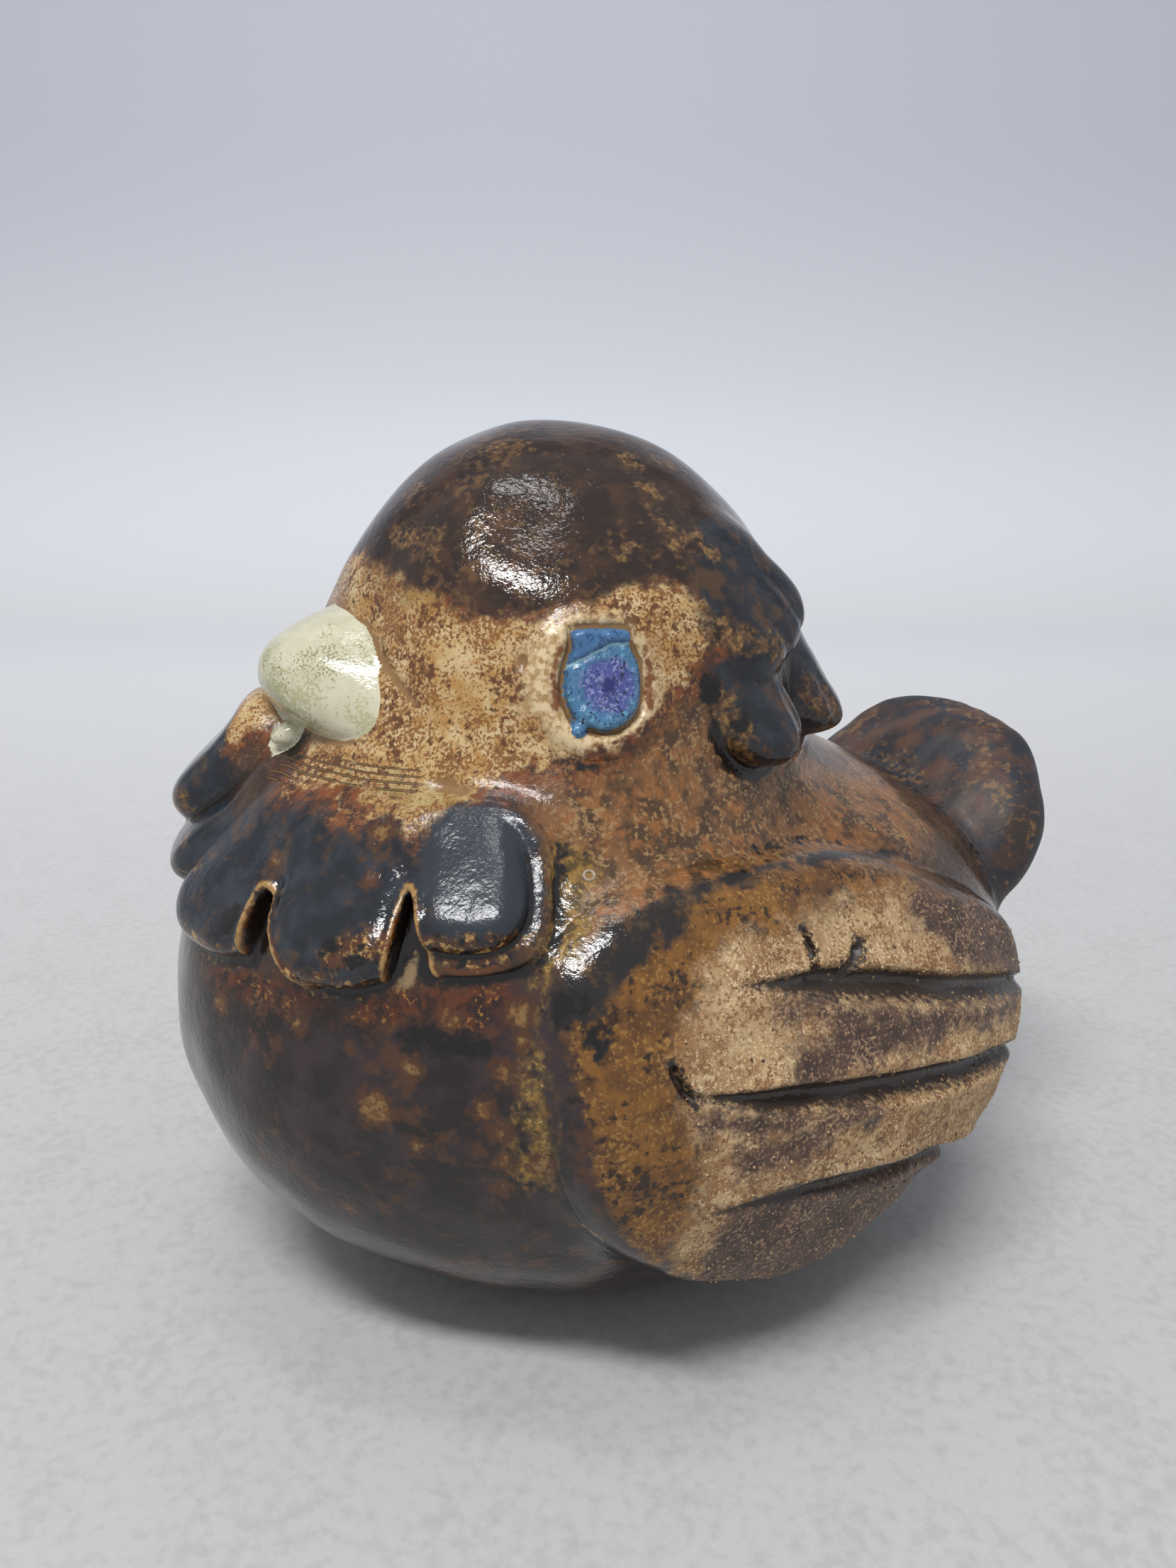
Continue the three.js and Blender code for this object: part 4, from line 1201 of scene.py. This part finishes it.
# Colour, roughness, relief in mm, then flecks: colour, size in mm, level, softness, size of the
# patches that they gather in, how strongly they gather, and seed.
COATS = dict(
    body=(
        "#33241a", GLASSY, 0,
        ("#4b3523", 2.6, 0.5, 0.16, 14, 0.5, 2),
        ("#6c5032", 0.8, 0.62, 0.1, 9, 0.8, 4),
    ),
    # Plum belly glaze, its colour darkened as painted shade on the underside.
    belly_and_underside_shade=(
        "#1d1413", GLASSY, 0,
        ("#34262a", 3.2, 0.5, 0.16, 14, 0.4, 6),
        ("#4c2f1c", 1.8, 0.64, 0.1, 9, 0.9, 8),
    ),
    neck=(
        "#7b5431", 0.22, 0,
        ("#48331f", 2.4, 0.5, 0.12, 10, 0.6, 10),
        ("#89582d", 1.4, 0.58, 0.1, 6, 0.6, 11),
        ("#96754c", 0.42, 0.58, 0.07, 5, 0.4, 12),
    ),
    olive=(
        "#54401d", 0.15, 0,
        ("#8d6c30", 0.9, 0.52, 0.09, 4, 0.4, 14),
        ("#ab8a4c", 0.45, 0.62, 0.07, 4, 0.4, 15),
        ("#1a1512", 1.3, 0.62, 0.06, 5, 0.6, 16),
    ),
    ember=(
        "#5a2d12", GLASSY, 0,
        ("#2b1810", 1.2, 0.52, 0.1, 5, 0.5, 13),
        ("#9a6830", 0.5, 0.64, 0.05, 4, 0.6, 17),
    ),
    rust=(
        "#78421d", 0.26, 0,
        ("#43281a", 1.5, 0.5, 0.1, 5, 0.4, 18),
        ("#8f6238", 0.4, 0.62, 0.07, 4, 0.5, 19),
    ),
    tail=(
        "#312721", 0.55, 0,
        ("#20232b", 6, 0.48, 0.12, 16, 0.5, 17),
        ("#523526", 3.2, 0.58, 0.14, 12, 0.8, 19),
        ("#765839", 0.9, 0.68, 0.12, 7, 0.9, 21),
    ),
    buff=(
        "#c0a270", 0.26, 0.01,
        ("#cdb486", 3.0, 0.5, 0.14, 9, 0.3, 20),
        ("#b0854c", 1.6, 0.54, 0.12, 6, 0.6, 22),
    ),
    crown=(
        "#2a1c15", 0.08, 0,
        ("#402a1b", 2.6, 0.55, 0.12, 10, 0.6, 26),
        ("#5f4428", 0.9, 0.66, 0.12, 7, 1.0, 28),
    ),
    amber=(
        "#5b3a19", 0.24, 0.01,
        ("#7f5420", 1.8, 0.5, 0.14, 7, 0.5, 30),
        ("#987036", 0.4, 0.6, 0.08, 4, 0.4, 31),
        ("#2e1d10", 0.9, 0.6, 0.08, 5, 0.6, 32),
    ),
    bare=(
        "#a98961", 0.7, 0,
        ("#bfa178", 2.2, 0.5, 0.14, 8, 0.5, 50),
        ("#97714b", 1.1, 0.54, 0.12, 6, 0.6, 51),
        ("#7a5636", 0.35, 0.56, 0.06, 5, 0.5, 52),
        ("#d3bb93", 0.3, 0.6, 0.05, 4, 0.3, 54),
    ),
    plum=(
        "#543d31", 0.5, 0.01,
        ("#3c2c24", 1.6, 0.52, 0.12, 6, 0.4, 33),
        ("#94765c", 0.35, 0.57, 0.06, 4, 0.3, 34),
    ),
    groove=("#3a312c", 0.26),
    tear=("#2a201b", 0.4),
    shoulder=(
        "#25201e", GLASSY, 0,
        ("#4b3826", 1.4, 0.58, 0.08, 6, 0.6, 27),
    ),
    pool=("#15110f", GLASSY),
    ink=(
        "#1b1e24", GLASSY, 0,
        ("#2b3038", 3.0, 0.54, 0.14, 8, 0.3, 36),
        ("#4a3524", 1.6, 0.63, 0.13, 6, 0.9, 38),
    ),
    # Rougher glaze on the disc; its paler blue-grey is partly a painted sheen.
    haze_and_sheen=("#2a2f37", 0.2),
    fringe=(
        "#4f2f18", 0.15, 0,
        ("#b08a52", 0.8, 0.55, 0.06, 3, 0.3, 41),
        ("#17110f", 0.9, 0.54, 0.05, 3, 0.3, 43),
    ),
    gold=(
        "#573d24", 0.16, 0,
        ("#8a693e", 0.5, 0.54, 0.12, 3, 0.3, 45),
        ("#2a1b12", 0.9, 0.54, 0.09, 3, 0.4, 47),
    ),
    spot_rim=("#4f2f18", 0.16),
    spot=(
        "#85663a", 0.2, 0,
        ("#6b451f", 0.5, 0.52, 0.06, 3, 0.3, 40),
    ),
    pit=("#14100f", GLASSY),
    worn=("#5e3518", 0.18),
    worn_through=("#a5804c", 0.24),
    # Painted shade on the floors of the knife cuts.
    slit_shade=("#1c1512", 0.14),
    column=("#8a7353", 0.16),
    lip=("#a3804e", 0.22),
    # Black of the creases: pooled glaze, darkened further as painted crease shade.
    pooled_glaze_and_crease_shade=("#1b1512", GLASSY),
    beak=(
        "#c5c1a6", 0.14, 0,
        ("#d0cbb2", 2.5, 0.5, 0.15, 8, 0.3, 60),
        ("#b1ae88", 0.35, 0.63, 0.06, 7, 1.4, 62),
        ("#8f8c64", 0.25, 0.66, 0.04, 7, 1.4, 64),
    ),
    eye=(
        "#457397", 0.16, 0,
        ("#669cb6", 0.5, 0.6, 0.06, 2, 0.5, 72),
    ),
    board=(
        "#c4c4c2", 0.6, 0,
        ("#b9b9b6", 1.6, 0.56, 0.16, 9, 0.5, 98),
    ),
)

# %% Buff wash and bare clay
def buff_wash(f):
    """Thin ash wash: buff, with iron specks as fine as scratches, and none of them round the eye."""
    buff = f.tint(f.glaze("buff"), "#7b6c34", f.both(f.border("moss", 1.4, 1.5), f.grain(0.9, 23)))
    calm = f.border("calm", 1.5, 1.2, 2.0)
    busy = f.all_but(calm)
    buff = f.tint(buff, "#d8c098", calm)
    buff = f.tint(buff, "#a58352", f.both(calm, f.flecks(0.6, 0.55, 0.12, 4, 0.6, 29)))
    buff = f.tint(buff, "#84572b", f.both(busy, f.flecks(0.3, 0.53, 0.05, 4, 0.5, 24)))
    return f.tint(buff, "#5f3a1c", f.both(busy, f.flecks(0.6, 0.6, 0.06, 5, 0.8, 25)))


def wing_coats(f):
    """Thin amber glaze in front, then unglazed stoneware: light, dry and sandy, with iron specks."""
    bare = f.glaze("bare")
    bare[2] = f.sum_of([(f.grain(0.45, 52), 0.12), (f.grain(0.25, 56), 0.05), (f.grain(1.6, 57), 0.12)])
    wing = f.lay(f.glaze("amber"), bare, f.border("bare", 1.5, 2.0, 2.0))
    return f.pile(wing, [
        ("plum", "purple", 1.5, 1.2, 1.8, 0.3),
        ("groove", "grooved", 0.5, 0.4, 0.6),
        ("tear", "torn", 0.7, 0.25, 0.5),
    ])


# %% The whole bird's glaze
# Comb strokes this far apart, in the wave texture's own measure.
COMB_SPACING = 0.55
COMB_SCALE = 2 * math.pi / (20 * COMB_SPACING * MM)


def bird_glaze(name):
    f = Finish(name)
    glaze = f.pile(f.glaze("body"), [
        # Plum belly, with painted underside shade.
        ("belly_and_underside_shade", "belly_and_underside_shade", 2.5, 3.0, 4.0),
        ("neck", "neck", 2.0, 2.4, 3.0),
        ("olive", "olive", 1.8, 1.2, 1.6),
        ("ember", "rust", 1.6, 1.7, 2.4),
        ("rust", "face", 1.6, 1.6, 2.2, 2.6),
        ("tail", "tail", 1.0, 1.4, 2.0),
    ])
    glaze = f.lay(glaze, buff_wash(f), f.border("face", 1.5, 0.8, 1.2))
    glaze = f.pile(glaze, [("crown", "crown", 1.2, 0.7, 2.6)])
    glaze = f.lay(glaze, wing_coats(f), f.border("wing", 0.8, 0.6, 2.0, -1.2))
    glaze = f.pile(glaze, [
        ("shoulder", "shoulder", 1.1, 0.6, 1.8),
        ("pool", "pool", 1.2, 0.5, 1.4),
        ("ink", "ink", 1.1, 0.9, 1.5),
        # Rough glaze on the disc, with a paler colour that is partly painted sheen.
        ("haze_and_sheen", "haze_and_sheen", 0.8, 0.9, 1.6),
        ("fringe", "fringe", 1.0, 0.5, 1.2),
        ("fringe", "ear", 0.8, 0.5, 1.2),
        ("gold", "amber", 1.5, 0.7, 1.3, -0.2),
        ("spot_rim", "spots", 0.8, 0.6, 0.9, 0.5),
        ("spot", "spots", 0.7, 0.35, 0.7, -0.15),
        ("pit", "pits", 0.5, 0.3, 0.9),
    ])

    # Bulge with noise: high on edges it marks rust and buff wear, low in creases it drives painted crease
    # shade.
    worn = f.sum_of([(f.patch("bulge"), 1.0), (f.grain(1.1, 42), 0.4)])
    covered = f.all_but(f.border("wing", 0.8, 0.8, 1.4, -1.0))
    glaze = f.lay(glaze, f.glaze("worn"), f.both(covered, f.between(worn, 0.34, 0.44)))
    glaze = f.lay(glaze, f.glaze("worn_through"), f.both(covered, f.between(worn, 0.47, 0.56)))
    glaze = f.pile(glaze, [
        # The floors of the knife cuts are painted dark as shade.
        ("slit_shade", "slit_shade", 0.15, 0.15, 0.8),
        ("column", "column", 0.3, 0.3, 0.8),
        ("lip", "lips", 0.2, 0.12, 0.8),
    ])
    washed = f.border("face", 1.1, 0.5, 1.6)
    thick = f.both(f.all_but(washed), covered)
    # Creases outside the face wash: pooled glaze, darkened further as painted crease shade.
    glaze = f.lay(glaze, f.glaze("pooled_glaze_and_crease_shade"), f.both(thick, f.between(worn, 0.12, 0.02)))
    # Creases in the face wash: brown of the pooled wash, with painted crease shade.
    glaze = f.tint(glaze, "#8a6840", f.both(washed, f.between(worn, 0.1, -0.04)))
    glaze = f.tint(glaze, "#7a4a28", f.both(washed, f.border("lines", 0.5, 0.3, 0.7)))

    comb = {"Vector": f.place, "Scale": COMB_SCALE, "Distortion": 1.5, "Detail": 2.0, "Detail Scale": 400.0}
    lines = f.add("ShaderNodeTexWave", comb, out="Fac", bands_direction="Z")
    scored = f.both(f.between(lines, 0.25, 0.05), f.border("comb", 0.9, 0.4, 1.5))
    glaze = f.tint(glaze, "#7a5c38", scored)
    waves_in_glaze = [(f.grain(1.5, 44), 0.07), (f.grain(0.6, 46), 0.05), (f.grain(0.3, 48), 0.024)]
    return f.fire(glaze, f.sum_of([*waves_in_glaze, (scored, -0.06)]))


GLAZE_NAMES = ("iron_brown_glaze", "buff_ash_glaze", "blue_black_glaze", "bare_stoneware")
glazes = {name: bird_glaze(name) for name in GLAZE_NAMES}
print("glaze nodes:", len(glazes["iron_brown_glaze"].node_tree.nodes))

# %% [markdown]
# ## Beak and eye glazes
#
# The beak is dipped in a pale yellow tin glaze, opaque and glassy with faint dark specks. The eye
# holds a blue glaze that crystallised: a violet middle, a paler blue ring and black specks, running
# thick over the pellet's upper edge. Its rings follow the distance from the pellet's middle.

# %% Pale yellow and blue glazes
def beak_glaze():
    f = Finish("pale_yellow_glaze")
    ripple = f.sum_of([(f.grain(2.0, 66), 0.07), (f.grain(0.6, 67), 0.045), (f.grain(0.3, 68), 0.02)])
    return f.fire(f.glaze("beak"), ripple)


def eye_glaze():
    f = Finish("blue_glaze")
    wander = f.sum_of([(f.patch("eye_radius"), 1.0), (f.grain(0.7, 70), 1.6)])
    lifted = f.sum_of([(f.patch("eye_rise"), 1.0), (f.grain(0.9, 78), 0.9)])
    line = f.both(f.between(lifted, 0.22, 0.4), f.between(lifted, 0.7, 0.5))
    band = f.between(lifted, 0.5, 0.7)
    glaze = f.tint(f.glaze("eye"), "#474f8c", f.between(wander, 3.8, 2.8))
    specks = f.flecks(0.35, 0.56, 0.06, 2, 0.2, 74)
    glaze = f.tint(glaze, "#8189b4", f.both(specks, f.between(wander, 4.3, 3.0)))
    glaze = f.tint(glaze, "#292c66", f.between(wander, 1.9, 1.2))
    glaze = f.tint(glaze, "#222c48", f.flecks(0.32, 0.6, 0.04, 2, 0.3, 76))
    glaze = f.tint(glaze, "#456f9a", band)
    glaze = f.tint(glaze, "#2f4f76", f.both(band, f.flecks(0.5, 0.58, 0.08, 2, 0.2, 79)))
    # The pale line along the lower border of the thick band is a painted highlight.
    glaze = f.tint(glaze, "#93bccb", line)
    return f.fire(glaze, f.sum_of([(f.grain(0.6, 80), 0.05), (f.grain(0.25, 82), 0.02)]))


glazes["pale_yellow_glaze"] = beak_glaze()
glazes["blue_glaze"] = eye_glaze()

# %% Build every piece
BODY_BOX = ((-45, -50, -1.5), (45, 55, 62))
HEAD_BOX = ((-34, -43, 47), (34, 27, 95))
CURVE_REACH = 1.1
# Reach of the broad crease term in the bulge, which marks pooled glaze and painted crease shade.
POOL_AND_SHADE_REACH = 2.6
QUICK_COARSER = 1.0
FINISHES = [
    ("beak", "pale_yellow_glaze", "pale_yellow_glaze"),
    ("eye_ring", "buff_ash_glaze", "buff_glaze"),
    ("eye", "blue_glaze", "blue_glaze"),
    ("ruff", "blue_black_glaze", "blue_black_glaze"),
    ("nape", "blue_black_glaze", "blue_black_glaze"),
    ("wing", "bare_stoneware", "bare_stoneware"),
    ("tail", "iron_brown_glaze", "brown_glaze"),
    ("head", "buff_ash_glaze", "buff_glaze"),
    ("body", "iron_brown_glaze", "brown_glaze"),
]


def patches_for(name, points):
    patches = borders(points)
    patches["bulge"] = curvature(points, CURVE_REACH) + 0.5 * np.minimum(curvature(points, POOL_AND_SHADE_REACH), 0)
    if name.startswith("eye"):
        u, v, _ = Pad(*EYE_PLANE, side=1 if name.endswith("left") else -1).place(points)
        patches["eye_radius"], patches["eye_rise"] = np.hypot(u - 0.4, v + 0.4), above_band(u, v)
    return patches


def build(name, box, step):
    points, quads = net(piece_field(name), *box, step * QUICK_COARSER)
    piece = stone_mesh(f"{name}_fired", points, quads, patches_for(name, points))
    glaze, slot = next((g, s) for start, g, s in FINISHES if name.startswith(start))
    piece.data.materials.append(glazes[glaze])
    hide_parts(name)
    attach(piece, "root")
    print(f"{name}: {len(quads)} quads")
    return piece


pieces = {"body": build("body", BODY_BOX, 0.52), "head": build("head", HEAD_BOX, 0.42)}
for name, lump in lumps.items():
    box = (lump["centre"] - lump["reach"], lump["centre"] + lump["reach"])
    pieces[name] = build(name, box, lump["step"])
print("quads in all:", sum(len(piece.data.polygons) for piece in pieces.values()))

# %% [markdown]
# ## Sand and burst bubbles
#
# Two small things repeat over the surface. Quartz sand and burnt iron stand out of the unglazed wing,
# and where gas left the molten glaze a bubble burst and froze as a tiny open ring. Modelling them by
# hand would take hundreds of moves, so one node tree scatters them over a named patch of a piece, at
# least so far apart, and makes either a bead or a ring.

# %% One tree that scatters beads or rings
def scatter_tree():
    tree = bpy.data.node_groups.new("scatter_on_patch", "GeometryNodeTree")
    wanted = dict(Clay="Geometry", Patch="String", Hollow="Bool", Finish="Material", Seed="Int")
    wanted.update(Spacing="Float", Crowd="Float", Least="Float", Most="Float")
    for word, kind in wanted.items():
        tree.interface.new_socket(word, in_out="INPUT", socket_type=f"NodeSocket{kind}")
    tree.interface.new_socket("Grains", in_out="OUTPUT", socket_type="NodeSocketGeometry")
    make = Recipe(tree)
    given = tree.nodes.new("NodeGroupInput").outputs
    patch = make.add("GeometryNodeInputNamedAttribute", {"Name": given["Patch"]}, data_type="FLOAT")
    above_zero = dict(data_type="FLOAT", operation="GREATER_THAN")
    inside = make.add("FunctionNodeCompare", {"A": patch, "B": 0.0}, **above_zero)
    room = {"Mesh": given["Clay"], "Selection": inside, "Seed": given["Seed"]}
    room.update({"Distance Min": given["Spacing"], "Density Max": given["Crowd"]})
    points = make.add("GeometryNodeDistributePointsOnFaces", room, distribute_method="POISSON")
    bead = make.add("GeometryNodeMeshIcoSphere", {"Radius": 0.5, "Subdivisions": 1})
    loop = make.add("GeometryNodeCurvePrimitiveCircle", {"Resolution": 12, "Radius": 0.38})
    wire = make.add("GeometryNodeCurvePrimitiveCircle", {"Resolution": 5, "Radius": 0.13})
    ring = make.add("GeometryNodeCurveToMesh", {"Curve": loop, "Profile Curve": wire})
    either = {"Switch": given["Hollow"], "False": bead, "True": ring}
    shape = make.add("GeometryNodeSwitch", either, input_type="GEOMETRY")
    sizes = {0: given["Least"], 1: given["Most"], "Seed": given["Seed"]}
    size = make.add("FunctionNodeRandomValue", sizes, data_type="FLOAT_VECTOR")
    turned = points.node.outputs["Rotation"]
    placed = {"Points": points, "Instance": shape, "Rotation": turned, "Scale": size}
    grains = make.add("GeometryNodeInstanceOnPoints", placed)
    grains = make.add("GeometryNodeRealizeInstances", {"Geometry": grains})
    grains = make.add("GeometryNodeSetShadeSmooth", {"Geometry": grains})
    grains = make.add("GeometryNodeSetMaterial", {"Geometry": grains, "Material": given["Finish"]})
    make.add("NodeGroupOutput", {"Grains": grains})
    return tree


def plain_grain(name, colour, other, rough):
    f = Finish(name)
    coat = f.tint(f.coat(colour, rough), other, f.grain(0.8, 90))
    return f.fire(coat, f.sum_of([(f.grain(0.2, 92), 0.03)]))


scattered = scatter_tree()
sand = plain_grain("quartz_sand", "#a58760", "#c6ac80", 0.6)
iron = plain_grain("burnt_iron", "#2e211a", "#5a3c24", 0.35)
rim = plain_grain("burst_bubble_rim", "#8d7a66", "#b5a48e", 0.15)
# The tree's own inputs, with lengths in metres.
SAND = dict(Patch="bare", Spacing=0.5 * MM, Crowd=0.16 / MM**2, Least=0.15 * MM, Most=0.42 * MM, Finish=sand)
IRON = dict(Patch="bare", Spacing=0.8 * MM, Crowd=0.03 / MM**2, Least=0.2 * MM, Most=0.45 * MM, Finish=iron)
RIM = dict(Patch="rims", Spacing=1.5 * MM, Crowd=80 / MM**2, Least=1.1 * MM, Most=1.3 * MM, Finish=rim)
SCATTERS = [
    ("sand_left", "wing_left", SAND, "bare_stoneware"),
    ("sand_right", "wing_right", SAND, "bare_stoneware"),
    ("iron_left", "wing_left", IRON, "bare_stoneware"),
    ("iron_right", "wing_right", IRON, "bare_stoneware"),
    ("bubble_rim", "body", RIM, "brown_glaze"),
]

# %% Scatter them
for seed, (name, host, kind, slot) in enumerate(SCATTERS):
    carrier = bpy.data.objects.new("carrier", pieces[host].data)
    bpy.context.scene.collection.objects.link(carrier)
    modifier = carrier.modifiers.new("scatter", "NODES")
    modifier.node_group = scattered
    chosen = dict(kind, Hollow=kind is RIM, Seed=seed)
    for socket in scattered.interface.items_tree:
        if socket.name in chosen:
            modifier[socket.identifier] = chosen[socket.name]
    made = carrier.evaluated_get(bpy.context.evaluated_depsgraph_get())
    grains = bpy.data.objects.new(name, bpy.data.meshes.new_from_object(made))
    bpy.data.objects.remove(carrier)
    bpy.context.scene.collection.objects.link(grains)
    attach(grains, "root")
    print(f"{name}: {len(grains.data.polygons)} faces")

# %% [markdown]
# ## Table, wall and light
#
# The table and wall are one pale sheet that curves up behind the bird, as paper does in a photo
# studio, so there is no corner. The highlights in the photograph say where its light came from: a
# window in front of the bird and above the camera, and a pale ceiling. Two soft lamps stand for
# those, and a pale world fills the rest.

# %% Sweep of paper, lamps and world
SWEEP_BACK = 0.74
SWEEP_CURVE = 0.16
SWEEP_HALF_WIDTH = 2.2
SWEEP_FRONT = 1.6
SWEEP_HEIGHT = 1.9


def paper_sweep():
    profile = [(-SWEEP_FRONT, 0.0), (0.0, 0.0)]
    for k in range(13):
        turn = math.radians(90 * k / 12)
        away = SWEEP_BACK - SWEEP_CURVE + SWEEP_CURVE * math.sin(turn)
        profile.append((away, SWEEP_CURVE * (1 - math.cos(turn))))
    profile.append((SWEEP_BACK, SWEEP_HEIGHT))
    turn = math.radians(CAMERA_AZIMUTH)
    away, across = np.array([-math.sin(turn), math.cos(turn)]), np.array([math.cos(turn), math.sin(turn)])
    points, faces = [], []
    for side in (-SWEEP_HALF_WIDTH, SWEEP_HALF_WIDTH):
        points += [(*(away * far + across * side), up) for far, up in profile]
    for k in range(len(profile) - 1):
        faces.append((k, k + len(profile), k + len(profile) + 1, k + 1))
    mesh = bpy.data.meshes.new("paper_sweep")
    mesh.from_pydata(points, [], faces)
    mesh.polygons.foreach_set("use_smooth", [True] * len(faces))
    for word, value in (("away", [far for far, up in profile]), ("rise", [up for far, up in profile])):
        layer = mesh.attributes.new(word, "FLOAT", "POINT")
        layer.data.foreach_set("value", [number / MM for number in value * 2])
    made = bpy.data.objects.new("paper_sweep", mesh)
    bpy.context.scene.collection.objects.link(made)
    return made


ROOM_LIGHT = 0.53
ROOM_SEEN = 0.75

sweep = paper_sweep()
f = Finish("pale_painted_board")
rise = f.patch("rise")
# The board is painted lighter away from the camera: painted light falloff.
board = f.tint(f.glaze("board"), "#f3f3f4", f.between(f.patch("away"), -60, 480))
# The wall is painted paler low down and greyer higher up: painted light falloff.
board = f.tint(board, "#f4f6fa", f.between(rise, 5, 60))
board = f.tint(board, "#cfd2da", f.between(rise, 20, 330))
sweep.data.materials.append(f.fire(board, f.sum_of([(f.grain(2.5, 94), 0.05), (f.grain(0.7, 96), 0.02)])))
sweep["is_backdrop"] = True


LAMPS = dict(
    window=dict(azimuth=44, elevation=60, distance=0.9, width=0.48, height=0.125, watts=6.1),
    ceiling=dict(azimuth=40, elevation=86, distance=1.1, width=0.36, height=0.06, watts=1.0),
)
AIM_HEIGHT = 0.05


def soft_lamp(name, azimuth, elevation, distance, width, height, watts):
    lamp = bpy.data.lights.new(name, "AREA")
    lamp.shape, lamp.size, lamp.size_y = "RECTANGLE", width, height
    lamp.energy = watts
    made = bpy.data.objects.new(name, lamp)
    made.location = heading(azimuth, elevation) * distance + np.array([0, 0, AIM_HEIGHT])
    made.rotation_euler = (math.radians(90 - elevation), 0, math.radians(azimuth))
    bpy.context.scene.collection.objects.link(made)


for name, lamp in LAMPS.items():
    soft_lamp(name, **lamp)

world = bpy.data.worlds.new("pale_room")
world.use_nodes = True
world.node_tree.nodes.clear()
bpy.context.scene.world = world
room = Recipe(world.node_tree)
rays = room.tree.nodes.new("ShaderNodeLightPath")
seen = rays.outputs["Is Camera Ray"]
for other in ("Is Glossy Ray", "Is Transmission Ray"):
    seen = room.add("ShaderNodeMath", {0: seen, 1: rays.outputs[other]}, operation="MAXIMUM")
strength = room.add("ShaderNodeMapRange", {"Value": seen, "To Min": ROOM_LIGHT, "To Max": ROOM_SEEN})
backing = room.add("ShaderNodeBackground", {"Color": linear("#e6e9f0"), "Strength": strength})
room.add("ShaderNodeOutputWorld", {"Surface": backing})

# %% The measured size, and the end
bpy.context.scene.view_settings.view_transform = "Standard"


def plain(box):
    return [[float(value) for value in corner] for corner in box]


{"cad": plain(cad_box), "visual": plain(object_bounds())}
